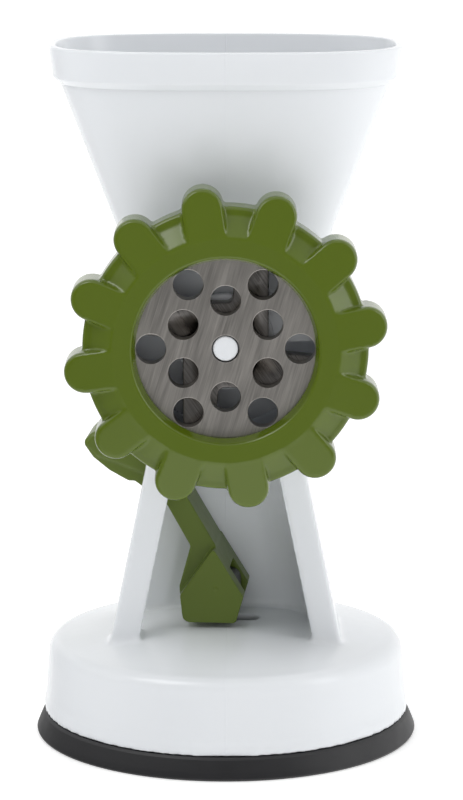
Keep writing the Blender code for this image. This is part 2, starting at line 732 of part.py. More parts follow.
def knob_spindle():
    """The steel spindle fixed in the crank arm that the knob turns on."""
    rear = HUB_REAR_Y + 1 * MM + KNOB_LENGTH
    foot = HUB_REAR_Y - ARM_THICKNESS + 2.4 * MM
    head = rear - KNOB_RECESS + GAP
    profile = [
        (0, foot),
        (SPINDLE_R, foot),
        (SPINDLE_R, head),
        (SPINDLE_HEAD_R, head),
        (SPINDLE_HEAD_R, rear - 1 * MM),
        (SPINDLE_HEAD_R - 1 * MM, rear - 0.4 * MM),
        (0, rear - 0.4 * MM),
    ]
    finish("knob_spindle", lie_along_y(turned(profile, 20), 0, KNOB_Z), steel())


# --- suction parts -----------------------------------------------------------------------------------------


def suction_cup():
    """The rubber foot: a flat membrane with a thick flared rim and a wall up inside the base."""
    wall_r = BASE_BOTTOM_R - BASE_WALL - GAP
    profile = [
        (0, 0),
        (FOOT_R - 0.3 * MM, 0),
        (FOOT_R, 0.6 * MM),
        (FOOT_R - 0.5 * MM, 2 * MM),
        (BASE_BOTTOM_R + 0.2 * MM, FOOT_TOP_Z - 0.6 * MM),
        (BASE_BOTTOM_R - 0.3 * MM, FOOT_TOP_Z),
        (wall_r, FOOT_TOP_Z),
        (wall_r - 0.4 * MM, FOOT_TOP_Z + 6 * MM),
        (wall_r - 4 * MM, FOOT_TOP_Z + 6 * MM),
        (wall_r - 4.4 * MM, MEMBRANE),
        (0, MEMBRANE),
    ]
    finish("suction_cup", turned(profile, 56), rubber())


def pressure_plate():
    """The disc bonded to the membrane that lifts its middle."""
    low = MEMBRANE + GAP
    profile = [
        (STEM_R + GAP, low + 2.6 * MM),
        (6.3 * MM, low + 2.6 * MM),
        (6.3 * MM, low),
        (PLATE_DISC_R, low),
        (PLATE_DISC_R, low + 1.6 * MM),
        (10 * MM, low + 4.2 * MM),
        (8 * MM, low + 9 * MM),
        (STEM_R + GAP, low + 9 * MM),
    ]
    finish("pressure_plate", turned(profile, 32), white())


def stem():
    """The rod from the pressure plate up through the floor slot to the lever's pin."""
    low = MEMBRANE + GAP
    profile = [
        (0, low),
        (6 * MM, low),
        (6 * MM, low + 2.3 * MM),
        (STEM_R, low + 2.3 * MM),
        (STEM_R, 41 * MM),
        (0, 41 * MM),
    ]
    made = finish("stem", turned(profile, 24), steel())
    eye_half = FORK_HALF_Y - 0.5 * MM
    corners = [(-4.5, 39, 0), (4.5, 39, 0), (4.5, 51.5, 4.4), (-4.5, 51.5, 4.4)]
    outline = rounded_outline([(x * MM, z * MM, r * MM) for x, z, r in corners], 5)
    boolean(made, finish("stem_eye_tool", aslant(slab(outline, -eye_half, eye_half)), steel()), "UNION")
    hole = rod(LEVER_PIN_R + GAP, -10 * MM, 10 * MM, 0, PIVOT_Z, 16)
    boolean(made, finish("stem_eye_cutter", aslant(hole), steel()))
    return made


def stem_nut():
    """The hexagon nut that clamps the pressure plate on the stem."""
    low = MEMBRANE + GAP + 9 * MM + GAP
    high = low + 4 * MM
    nut = finish("stem_nut", turned([(0, low), (5.5 * MM, low), (5.5 * MM, high), (0, high)], 6), steel())
    nut.data.shade_flat()
    bore_r = STEM_R + GAP
    bore = turned([(0, low - MM), (bore_r, low - MM), (bore_r, high + MM), (0, high + MM)], 24)
    boolean(nut, finish("stem_nut_cutter", bore, steel()))
    return nut


def return_spring():
    """The coil spring that pushes the pressure plate down when the lever lets go."""
    low = MEMBRANE + GAP + 13 * MM + 2 * GAP
    high = DOME_TOP_Z - BASE_WALL - 1 * MM
    wire, coil_r, turns, per_turn, sides = 0.85 * MM, 7.2 * MM, 4.5, 14, 6
    steps = int(turns * per_turn)
    rings = []
    for i in range(steps + 1):
        angle = math.tau * turns * i / steps
        z = low + wire + (high - low - 2 * wire) * i / steps
        ring = []
        for k in range(sides):
            around = math.tau * k / sides
            radius = coil_r + wire * math.cos(around)
            ring.append((radius * math.cos(angle), radius * math.sin(angle), z + wire * math.sin(around)))
        rings.append(ring)
    finish("return_spring", loft(rings), steel())


def outline_mm(corners):
    """A rounded outline from corners given as (x, z, radius) in millimetres."""
    return rounded_outline([(x * MM, z * MM, r * MM) for x, z, r in corners], 3)


def suction_lever():
    """The cam lever: a fork of two five-sided cheeks, an arm and a thumb paddle."""
    body = [
        (-11.5, 39, 0),
        (2, 39, 0),
        (2, 46.3, 0),
        (-2.7, 62.4, 0.6),
        (-11, 76.7, 1),
        (-19, 90, 4),
        (-30, 95.5, 5),
        (-41.2, 98.6, 2),
        (-44.7, 94.9, 1.5),
        (-41.4, 90.1, 2),
        (-36.2, 85.9, 3),
        (-30.2, 82.6, 1.5),
        (-28.2, 82.6, 1),
        (-18, 75.1, 2),
        (-10.5, 61.7, 1),
        (-14.1, 48.5, 1.5),
        (-13.9, 45.9, 0.6),
    ]
    cheek = [(-12.6, 37.7, 2.6), (4.2, 37.7, 1), (6.7, 46.3, 0.8), (-3, 62, 0.8), (-13.6, 46.4, 1.2)]
    arm = slab(outline_mm(body), -LEVER_ARM_HALF_Y, LEVER_ARM_HALF_Y)
    lever = finish("suction_lever", aslant(arm), green())
    cheeks = slab(outline_mm(cheek), -LEVER_HALF_Y, LEVER_HALF_Y)
    boolean(lever, finish("cheek_tool", aslant(cheeks), green()), "UNION")
    fork = box((-30 * MM, -FORK_HALF_Y, 30 * MM), (15 * MM, FORK_HALF_Y, FORK_TOP_Z))
    boolean(lever, finish("fork_cutter", aslant(fork), green()))
    pivot = rod(LEVER_PIN_R + GAP, LEVER_PIN_FRONT - GAP, LEVER_HALF_Y + 3 * MM, 0, PIVOT_Z, 16)
    boolean(lever, finish("pivot_cutter", aslant(pivot), green()))
    return lever


def lever_pin():
    """The steel pin through the stem's eye and both cheeks."""
    finish("lever_pin", aslant(rod(LEVER_PIN_R, LEVER_PIN_FRONT, LEVER_PIN_REAR, 0, PIVOT_Z, 14)), steel())


def main():
    """Clears the scene and makes every piece."""
    for old in list(bpy.data.objects):
        bpy.data.objects.remove(old)
    suction_stand()
    saddle_screws()
    feed_housing()
    plate_key()
    bearing_bush()
    ring_nut()
    cutting_plate()
    knife()
    auger()
    thrust_washer()
    crank_arm()
    crank_screw()
    crank_knob()
    knob_spindle()
    suction_cup()
    pressure_plate()
    stem()
    stem_nut()
    return_spring()
    suction_lever()
    lever_pin()


main()
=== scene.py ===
"""Looks of a hand-crank meat mincer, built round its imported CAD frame, in metres, +Z up."""

from __future__ import annotations

import logging
import math
from collections.abc import Iterable, Sequence
from dataclasses import dataclass
from enum import Enum

import bmesh
import bpy
from mathutils import Matrix, Vector


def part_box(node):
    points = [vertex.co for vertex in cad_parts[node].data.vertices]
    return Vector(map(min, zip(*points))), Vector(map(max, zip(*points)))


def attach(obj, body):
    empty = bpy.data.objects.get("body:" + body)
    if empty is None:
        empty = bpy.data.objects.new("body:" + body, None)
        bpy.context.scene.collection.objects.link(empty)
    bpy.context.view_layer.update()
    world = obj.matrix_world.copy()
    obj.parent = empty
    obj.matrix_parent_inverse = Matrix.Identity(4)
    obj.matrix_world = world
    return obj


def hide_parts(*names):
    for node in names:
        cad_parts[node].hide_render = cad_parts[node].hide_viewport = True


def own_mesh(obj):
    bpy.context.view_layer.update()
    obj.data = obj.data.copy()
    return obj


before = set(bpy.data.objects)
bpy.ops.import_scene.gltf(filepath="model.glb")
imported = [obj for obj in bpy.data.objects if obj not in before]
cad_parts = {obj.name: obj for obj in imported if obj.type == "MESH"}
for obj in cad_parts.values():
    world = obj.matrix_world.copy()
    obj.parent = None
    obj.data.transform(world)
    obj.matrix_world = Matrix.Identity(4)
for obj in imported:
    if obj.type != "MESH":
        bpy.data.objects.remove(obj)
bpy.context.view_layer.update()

LOG = logging.getLogger("mincer")
MM = 0.001
GAP = 0.3 * MM
Point = tuple[float, float]
Corner = tuple[float, float, float]
Mesh = bmesh.types.BMesh


class Body(Enum):
    """The rigid bodies that pieces ride on."""

    STAND = "stand"
    STEM = "cup_stem"
    LEVER = "lever"
    DRIVE = "drive"
    KNOB = "knob"
    PLATE = "plate"
    NUT = "nut"


class Slot(Enum):
    """The record's material slots."""

    WHITE = "white_plastic"
    GREEN = "green_plastic"
    PLATE = "plate_steel"
    STEEL = "steel"
    RUBBER = "black_rubber"
    NYLON = "nylon"


# --- shader writing ----------------------------------------------------------------------------------------


class Value:
    """A shader socket that can be used in Python arithmetic."""

    def __init__(self, book: ShaderBook, socket: bpy.types.NodeSocket) -> None:
        """Wraps a socket.

        Args:
            book: The material that the socket belongs to.
            socket: The output socket.
        """
        self.book = book
        self.socket = socket

    def _maths(self, operation: str, *others: Value | float) -> Value:
        """Adds one Math node.

        Args:
            operation: The node's operation.
            others: The other operands.

        Returns:
            The node's result.
        """
        operands = dict(enumerate((self, *others)))
        return self.book.value("ShaderNodeMath", {"operation": operation}, operands)

    def __add__(self, other: Value | float) -> Value:
        """The sum."""
        return self._maths("ADD", other)

    __radd__ = __add__

    def __mul__(self, other: Value | float) -> Value:
        """The product."""
        return self._maths("MULTIPLY", other)

    __rmul__ = __mul__

    def __abs__(self) -> Value:
        """The size without its sign."""
        return self._maths("ABSOLUTE")

    def below(self, limit: float, softness: float) -> Value:
        """One where the value is under a limit, zero above it, with a soft edge.

        Args:
            limit: Where the edge starts.
            softness: How wide the edge is.

        Returns:
            The mask.
        """
        settings = {"interpolation_type": "SMOOTHSTEP"}
        inputs = {"Value": self, "From Min": limit, "From Max": limit + softness, "To Min": 1.0}
        inputs["To Max"] = 0.0
        return self.book.value("ShaderNodeMapRange", settings, inputs)

    def between(self, low: float, high: float) -> Value:
        """The value, from 0 to 1, spread over a range and held inside it.

        Args:
            low: The result for 0.
            high: The result for 1.

        Returns:
            The value in the range.
        """
        return self.book.value("ShaderNodeMapRange", {}, {"Value": self, "To Min": low, "To Max": high})


class ShaderBook:
    """Writes one material's nodes."""

    def __init__(self, name: str) -> None:
        """Starts a material with only a Principled shader.

        Args:
            name: The material's name.
        """
        self.material = bpy.data.materials.new(name)
        self.material.use_nodes = True
        self.tree = self.material.node_tree
        self.shader = self.tree.nodes["Principled BSDF"]

    def node(self, kind: str, settings: dict | None = None, inputs: dict | None = None) -> bpy.types.Node:
        """Adds a node.

        Args:
            kind: The node's type.
            settings: Attributes, set first.
            inputs: Values or links, by socket name or number.

        Returns:
            The node.
        """
        made = self.tree.nodes.new(kind)
        for key, setting in (settings or {}).items():
            setattr(made, key, setting)
        for key, given in (inputs or {}).items():
            self.plug(made.inputs[key], given)
        return made

    def plug(self, socket: bpy.types.NodeSocket, given: object) -> None:
        """Links or sets one input.

        Args:
            socket: The input.
            given: A Value, a socket, a number or a tuple.
        """
        if isinstance(given, Value):
            self.tree.links.new(given.socket, socket)
        elif isinstance(given, bpy.types.NodeSocket):
            self.tree.links.new(given, socket)
        else:
            socket.default_value = given

    def value(
        self, kind: str, settings: dict | None = None, inputs: dict | None = None, output: int | str = 0
    ) -> Value:
        """Adds a node and wraps one of its outputs.

        Args:
            kind: The node's type.
            settings: Attributes, set first.
            inputs: Values or links, by socket name or number.
            output: Which output.

        Returns:
            The wrapped output.
        """
        return Value(self, self.node(kind, settings, inputs).outputs[output])

    def place(self) -> Value:
        """Object coordinates."""
        return self.value("ShaderNodeTexCoord", output="Object")

    def axis(self, name: str) -> Value:
        """One object coordinate, in metres.

        Args:
            name: X, Y or Z.

        Returns:
            The coordinate.
        """
        return self.value("ShaderNodeSeparateXYZ", {}, {0: self.place()}, name)

    def noise(
        self, size: float, detail: float = 2.0, stretch: Sequence[float] = (1, 1, 1), turn: float = 0.0
    ) -> Value:
        """Noise with cells of a given size.

        Args:
            size: The cells' size in metres.
            detail: The octaves.
            stretch: How much closer the pattern is packed along each axis.
            turn: An angle about Y that the pattern is turned by, in radians.

        Returns:
            The noise, about 0.5.
        """
        turned_inputs = {"Vector": self.place(), "Rotation": (0.0, turn, 0.0)}
        turned_place = self.value("ShaderNodeMapping", {"vector_type": "POINT"}, turned_inputs)
        packing = tuple(float(s) for s in stretch)
        mapped = self.value("ShaderNodeVectorMath", {"operation": "MULTIPLY"}, {0: turned_place, 1: packing})
        return self.value("ShaderNodeTexNoise", {}, {"Vector": mapped, "Scale": 1 / size, "Detail": detail})

    def mix(self, factor: Value | float, first: object, second: object) -> Value:
        """A colour between two colours.

        Args:
            factor: 0 for the first, 1 for the second.
            first: A colour.
            second: A colour.

        Returns:
            The mixed colour.
        """
        made = self.node("ShaderNodeMix", {"data_type": "RGBA"})
        self.plug(made.inputs[0], factor)
        for socket, colour in ((made.inputs[6], first), (made.inputs[7], second)):
            self.plug(socket, (*colour, 1.0) if isinstance(colour, tuple) and len(colour) == 3 else colour)
        return Value(self, made.outputs[2])

    def bump(self, height: Value, distance: float, strength: float = 1.0) -> None:
        """Feeds a height to the shader's Normal.

        Args:
            height: The height, about 0 to 1.
            distance: What a height of 1 is in metres.
            strength: The bump's strength.
        """
        made = self.node("ShaderNodeBump", {}, {"Strength": strength, "Distance": distance, "Height": height})
        self.plug(self.shader.inputs["Normal"], made.outputs[0])

    def set(self, **inputs: object) -> bpy.types.Material:
        """Sets the shader's inputs, with underscores for spaces.

        Args:
            inputs: Values or links.

        Returns:
            The material.
        """
        for name, given in inputs.items():
            self.plug(self.shader.inputs[name.replace("_", " ")], given)
        return self.material


# --- finishes ----------------------------------------------------------------------------------------------


@dataclass(frozen=True)
class MouldedPlastic:
    """Glossy moulded plastic: fine orange peel, faint flow marks and a parting line."""

    name: str
    colour: tuple[float, float, float]
    deep: tuple[float, float, float]
    roughness: tuple[float, float]
    seam: bool = False
    glow: float = 0.0

    def build(self) -> bpy.types.Material:
        """The material."""
        book = ShaderBook(self.name)
        flow = book.noise(24 * MM, 3, (1, 1, 0.5))
        peel = book.noise(0.9 * MM, 1)
        wear = book.noise(3.5 * MM, 4)
        colour = book.mix(flow, self.deep, self.colour)
        height = peel * 0.25 + wear * 0.15
        if self.seam:
            line = abs(book.axis("X")).below(0.05 * MM, 0.22 * MM)
            colour = book.mix(line * 0.22, colour, self.deep)
            height = height + line * 1.6
        book.bump(height, 0.05 * MM, 0.5)
        rough = (flow * 0.4 + wear * 0.6).between(*self.roughness)
        return book.set(
            Base_Color=colour,
            Roughness=rough,
            IOR=1.5,
            Subsurface_Weight=self.glow,
            Subsurface_Radius=(1.0, 1.0, 1.0),
            Subsurface_Scale=1.5 * MM,
        )


@dataclass(frozen=True)
class GroundSteel:
    """Steel ground in one direction, with long fine scratches."""

    name: str
    light: tuple[float, float, float]
    dark: tuple[float, float, float]
    roughness: tuple[float, float]
    grain_turn: float = 0.0
    grain_size: float = 0.35 * MM

    def build(self) -> bpy.types.Material:
        """The material."""
        book = ShaderBook(self.name)
        fine = book.noise(self.grain_size, 4, (1, 1, 0.03), self.grain_turn)
        broad = book.noise(2.2 * MM, 3, (1, 1, 0.08), self.grain_turn)
        cloud = book.noise(9 * MM, 3)
        streaks = fine * 0.55 + broad * 0.3 + cloud * 0.15
        limits = {"From Min": 0.38, "From Max": 0.62, "To Min": 0.0, "To Max": 1.0}
        spread = book.value("ShaderNodeMapRange", {}, {"Value": streaks, **limits})
        book.bump(fine * 0.7 + broad * 0.3, 0.02 * MM, 0.6)
        colour = book.mix(spread, self.dark, self.light)
        return book.set(Base_Color=colour, Roughness=spread.between(*self.roughness), Metallic=1.0)


@dataclass(frozen=True)
class FootRubber:
    """Black moulded rubber with a dusty bloom."""

    name: str = "foot_rubber"
    colour: tuple[float, float, float] = (0.008, 0.008, 0.0095)
    bloom: tuple[float, float, float] = (0.021, 0.021, 0.024)

    def build(self) -> bpy.types.Material:
        """The material."""
        book = ShaderBook(self.name)
        dust = book.noise(6 * MM, 4)
        grain = book.noise(0.5 * MM, 2)
        book.bump(grain * 0.6 + dust * 0.4, 0.06 * MM, 0.5)
        colour = book.mix(dust * 0.5, self.colour, self.bloom)
        return book.set(Base_Color=colour, Roughness=dust.between(0.42, 0.62))


@dataclass(frozen=True)
class BushNylon:
    """Off-white nylon with a matt, slightly mottled skin."""

    name: str = "bush_nylon"
    colour: tuple[float, float, float] = (0.62, 0.61, 0.56)
    deep: tuple[float, float, float] = (0.5, 0.49, 0.44)

    def build(self) -> bpy.types.Material:
        """The material."""
        book = ShaderBook(self.name)
        mottle = book.noise(2 * MM, 3)
        book.bump(mottle, 0.03 * MM, 0.4)
        colour = book.mix(mottle, self.deep, self.colour)
        return book.set(Base_Color=colour, Roughness=mottle.between(0.4, 0.6))


@dataclass(frozen=True)
class Floor:
    """A pale, very slightly uneven studio floor."""

    name: str = "studio_floor"

    def build(self) -> bpy.types.Material:
        """The material."""
        book = ShaderBook(self.name)
        tone = book.noise(400 * MM, 2)
        return book.set(
            Base_Color=book.mix(tone, (0.93, 0.93, 0.93), (0.95, 0.95, 0.95)),
            Roughness=0.6,
            Emission_Color=(1.0, 1.0, 1.0, 1.0),
            Emission_Strength=0.3,
        )


class Finishes:
    """Every finish of the mincer, each built once."""

    def __init__(self) -> None:
        """Builds the materials."""
        white, shade, gloss, glow = (0.78, 0.80, 0.825), (0.755, 0.78, 0.81), (0.16, 0.3), 0.15
        self.white = MouldedPlastic("white_moulding", white, shade, gloss, False, glow).build()
        self.white_seamed = MouldedPlastic("white_moulding_seamed", white, shade, gloss, True, glow).build()
        self.green = MouldedPlastic(
            "green_moulding", (0.088, 0.128, 0.006), (0.08, 0.12, 0.004), (0.14, 0.26)
        ).build()
        # The lever's green is the nut's green painted a little lighter, as a painted highlight on the lever;
        # its higher roughness is a real finish setting.
        self.lever = MouldedPlastic(
            "lever_moulding_painted_lighter", (0.1, 0.145, 0.012), (0.09, 0.132, 0.009), (0.32, 0.48)
        ).build()
        self.plate = GroundSteel(
            "ground_plate", (0.6, 0.57, 0.535), (0.42, 0.4, 0.375), (0.32, 0.46), math.radians(-17)
        ).build()
        # The knife's steel is painted darker than the other steels, as painted shade for the dark seen
        # through the plate's holes.
        self.blade = GroundSteel(
            "blade_steel_painted_darker", (0.34, 0.325, 0.31), (0.16, 0.15, 0.145), (0.25, 0.45), 0.6
        ).build()
        self.steel = GroundSteel("turned_steel", (0.6, 0.6, 0.6), (0.42, 0.42, 0.43), (0.22, 0.38)).build()
        self.dark_steel = GroundSteel(
            "blackened_steel", (0.06, 0.06, 0.062), (0.035, 0.035, 0.036), (0.35, 0.5)
        ).build()
        self.rubber = FootRubber().build()
        self.nylon = BushNylon().build()


# --- mesh making -------------------------------------------------------------------------------------------


def to_object(mesh_data: Mesh, name: str, angle: float = 38) -> bpy.types.Object:
    """Makes an object of a bmesh, with faces out and sharp edges kept.

    Args:
        mesh_data: The bmesh, which is freed.
        name: The object's name.
        angle: Edges sharper than this stay sharp, in degrees.

    Returns:
        The object.
    """
    bmesh.ops.remove_doubles(mesh_data, verts=mesh_data.verts, dist=1e-6)
    bmesh.ops.recalc_face_normals(mesh_data, faces=mesh_data.faces)
    mesh = bpy.data.meshes.new(name)
    mesh_data.to_mesh(mesh)
    mesh_data.free()
    mesh.shade_smooth()
    mesh.set_sharp_from_angle(angle=math.radians(angle))
    made = bpy.data.objects.new(name, mesh)
    bpy.context.scene.collection.objects.link(made)
    return made


def rounded(corners: Sequence[Corner], steps: int = 5) -> list[Point]:
    """A closed outline whose corners are rounded with arcs.

    Args:
        corners: The corners as (x, y, radius).
        steps: The pieces of each arc.

    Returns:
        The points.
    """
    points: list[Point] = []
    count = len(corners)
    for i, (x, y, radius) in enumerate(corners):
        if radius <= 0:
            points.append((x, y))
            continue
        here = Vector((x, y))
        before = Vector(corners[i - 1][:2]) - here
        after = Vector(corners[(i + 1) % count][:2]) - here
        turn = before.angle(after)
        reach = min(radius / math.tan(turn / 2), before.length * 0.49, after.length * 0.49)
        radius = reach * math.tan(turn / 2)
        start = here + before.normalized() * reach
        end = here + after.normalized() * reach
        middle = (before.normalized() + after.normalized()).normalized()
        centre = here + middle * (radius / math.sin(turn / 2))
        first, last = start - centre, end - centre
        sweep = first.angle_signed(last) if first.length > 0 else 0.0
        for k in range(steps + 1):
            spoke = first.copy()
            spoke.rotate(Matrix.Rotation(-sweep * k / steps, 2))
            points.append((centre.x + spoke.x, centre.y + spoke.y))
    return points


def turned(corners: Sequence[Corner], steps: int = 96, arc: int = 4) -> Mesh:
    """A shape turned about Z from a closed profile with rounded corners.

    Args:
        corners: The profile as (radius, height, corner radius).
        steps: The facets round the turn.
        arc: The pieces of each rounded corner.

    Returns:
        The bmesh.
    """
    made = bmesh.new()
    points = [made.verts.new((max(r, 0.0), 0, h)) for r, h in rounded(corners, arc)]
    pairs = zip(points, points[1:] + points[:1])
    edges = [made.edges.new(pair) for pair in pairs if pair[0].co.x > 1e-7 or pair[1].co.x > 1e-7]
    bmesh.ops.spin(
        made, geom=points + edges, cent=(0, 0, 0), axis=(0, 0, 1), angle=math.tau, steps=steps, use_merge=True
    )
    bmesh.ops.remove_doubles(made, verts=made.verts, dist=1e-6)
    return made


def along_y(mesh_data: Mesh, centre_x: float, centre_z: float) -> Mesh:
    """Lays a shape made about Z along a line parallel to Y.

    Args:
        mesh_data: The bmesh, whose heights become Y.
        centre_x: The line's X.
        centre_z: The line's Z.

    Returns:
        The same bmesh.
    """
    turn = Matrix(((1, 0, 0, centre_x), (0, 0, 1, 0), (0, -1, 0, centre_z), (0, 0, 0, 1)))
    bmesh.ops.transform(mesh_data, matrix=turn, verts=mesh_data.verts)
    return mesh_data


def rod(radius: float, start: float, end: float, centre: Point, steps: int = 48) -> Mesh:
    """A plain cylinder along Y, for cuts and unions.

    Args:
        radius: Its radius.
        start: Its lowest Y.
        end: Its highest Y.
        centre: Its X and Z.
        steps: The facets.

    Returns:
        The bmesh.
    """
    made = bmesh.new()
    bmesh.ops.create_cone(
        made, cap_ends=True, segments=steps, radius1=radius, radius2=radius, depth=end - start
    )
    bmesh.ops.translate(made, vec=(0, 0, (start + end) / 2), verts=made.verts)
    return along_y(made, *centre)


def post(radius: float, low: float, high: float, centre: Point, steps: int = 32) -> Mesh:
    """A plain cylinder along Z.

    Args:
        radius: Its radius.
        low: Its lowest Z.
        high: Its highest Z.
        centre: Its X and Y.
        steps: The facets.

    Returns:
        The bmesh.
    """
    made = bmesh.new()
    bmesh.ops.create_cone(
        made, cap_ends=True, segments=steps, radius1=radius, radius2=radius, depth=high - low
    )
    bmesh.ops.translate(made, vec=(*centre, (low + high) / 2), verts=made.verts)
    return made


def block(low: Sequence[float], high: Sequence[float]) -> Mesh:
    """A box between two corners, for cuts and unions.

    Args:
        low: The lowest corner.
        high: The highest corner.

    Returns:
        The bmesh.
    """
    made = bmesh.new()
    bmesh.ops.create_cube(made, size=1)
    bmesh.ops.scale(made, vec=[b - a for a, b in zip(low, high)], verts=made.verts)
    bmesh.ops.translate(made, vec=[(a + b) / 2 for a, b in zip(low, high)], verts=made.verts)
    return made


def slab(outline: Iterable[Point], start: float, end: float, soften: float = 0.0) -> Mesh:
    """An outline in X and Z extruded along Y.

    Args:
        outline: The points.
        start: The lowest Y.
        end: The highest Y.
        soften: A bevel along the two outlines.

    Returns:
        The bmesh.
    """
    made = bmesh.new()
    face = made.faces.new([made.verts.new((x, start, z)) for x, z in outline])
    grown = bmesh.ops.extrude_face_region(made, geom=[face])
    moved = [g for g in grown["geom"] if isinstance(g, bmesh.types.BMVert)]
    bmesh.ops.translate(made, vec=(0, end - start, 0), verts=moved)
    if soften:
        rims = [e for e in made.edges if abs(e.verts[0].co.y - e.verts[1].co.y) < 1e-9]
        bevel(made, rims, soften)
    return made


def bevel(mesh_data: Mesh, edges: Sequence[bmesh.types.BMEdge], width: float, segments: int = 3) -> None:
    """Rounds edges.

    Args:
        mesh_data: The bmesh.
        edges: The edges.
        width: The bevel's width.
        segments: The bevel's segments.
    """
    bmesh.ops.bevel(
        mesh_data, geom=list(edges), offset=width, segments=segments, profile=0.5, affect="EDGES",
        material=-1, clamp_overlap=True,
    )


def loft(rings: Sequence[Sequence[Sequence[float]]]) -> Mesh:
    """A closed shape through rings of equally many points.

    Args:
        rings: The rings, each a list of points.

    Returns:
        The bmesh.
    """
    made = bmesh.new()
    loops: list[list[bmesh.types.BMEdge]] = []
    for ring in rings:
        created = bmesh.ops.create_circle(made, cap_ends=False, segments=len(ring), radius=1)["verts"]
        for vert, point in zip(created, ring):
            vert.co = point
        loops.append(sorted({e for v in created for e in v.link_edges}, key=lambda e: e.index))
    for lower, upper in zip(loops, loops[1:]):
        bmesh.ops.bridge_loops(made, edges=lower + upper)
    for loop in (loops[0], loops[-1]):
        bmesh.ops.edgeloop_fill(made, edges=loop)
    return made


def gathered(shapes: Iterable[Mesh]) -> Mesh:
    """One bmesh holding several separate closed shapes.

    Args:
        shapes: The bmeshes, which are freed.

    Returns:
        The bmesh.
    """
    made = bmesh.new()
    held = bpy.data.meshes.new("held")
    for shape in shapes:
        shape.to_mesh(held)
        shape.free()
        made.from_mesh(held)
    bpy.data.meshes.remove(held)
    return made


def evaluated(piece: bpy.types.Object) -> None:
    """Applies a piece's modifiers to its mesh.

    Args:
        piece: The object.
    """
    graph = bpy.context.evaluated_depsgraph_get()
    mesh = bpy.data.meshes.new_from_object(piece.evaluated_get(graph))
    piece.modifiers.clear()
    old, piece.data = piece.data, mesh
    bpy.data.meshes.remove(old)


def carve(piece: bpy.types.Object, shape: Mesh, operation: str = "DIFFERENCE") -> None:
    """Cuts a shape from a piece, or joins it on.

    Args:
        piece: The object.
        shape: The other shape, which is freed.
        operation: DIFFERENCE or UNION.
    """
    tool = to_object(shape, "tool")
    step = piece.modifiers.new("carve", "BOOLEAN")
    step.operation = operation
    step.solver = "EXACT"
    step.object = tool
    evaluated(piece)
    bpy.data.meshes.remove(tool.data)


def moulded(piece: bpy.types.Object, voxel: float, passes: int = 6) -> None:
    """Runs a piece's edges and inside corners into small fillets, as a mould gives them.

    Args:
        piece: The object, a closed shape.
        voxel: The mesh size.
        passes: The rounds of smoothing.
    """
    remesh = piece.modifiers.new("skin", "REMESH")
    remesh.mode = "VOXEL"
    remesh.voxel_size = voxel
    remesh.use_smooth_shade = True
    smooth = piece.modifiers.new("soften", "SMOOTH")
    smooth.factor = 0.5
    smooth.iterations = passes
    evaluated(piece)
    piece.data.shade_smooth()


def dress(
    piece: bpy.types.Object, finish: bpy.types.Material, slot: Slot, body: Body, *nodes: str
) -> bpy.types.Object:
    """Gives a finished piece its material and body, and hides the CAD nodes that it stands for.

    Args:
        piece: The object.
        finish: Its material.
        slot: The record's slot; not used.
        body: The body it rides on.
        nodes: The CAD nodes it replaces.

    Returns:
        The piece.
    """
    piece.data.materials.clear()
    piece.data.materials.append(finish)
    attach(piece, body.value)
    if nodes:
        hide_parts(*nodes)
    LOG.info("%s: %d faces on %s", piece.name, len(piece.data.polygons), body.value)
    return piece


def repaint(node: str, finish: bpy.types.Material) -> None:
    """Gives a CAD node that stays visible its finish.

    Args:
        node: The node.
        finish: The material.
    """
    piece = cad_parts[node]
    piece.data.materials.clear()
    piece.data.materials.append(finish)


# --- the shared places -------------------------------------------------------------------------------------

PLATE_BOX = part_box("cutting_plate")
HOUSING_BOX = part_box("feed_housing")
STAND_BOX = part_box("suction_stand")
NUT_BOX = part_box("ring_nut")
PIN_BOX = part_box("lever_pin")
SPINDLE_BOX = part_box("knob_spindle")
HUB_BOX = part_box("crank_arm")
AXIS_Z = (NUT_BOX[0].z + NUT_BOX[1].z) / 2
AXIS = (0.0, AXIS_Z)
PIVOT_Z = (PIN_BOX[0].z + PIN_BOX[1].z) / 2
KNOB_Z = (SPINDLE_BOX[0].z + SPINDLE_BOX[1].z) / 2
BARREL_R = 34 * MM
SCREW_PLACES = (-13 * MM, 9 * MM)
LEVER_YAW = math.radians(4.6)


# --- feed housing ------------------------------------------------------------------------------------------


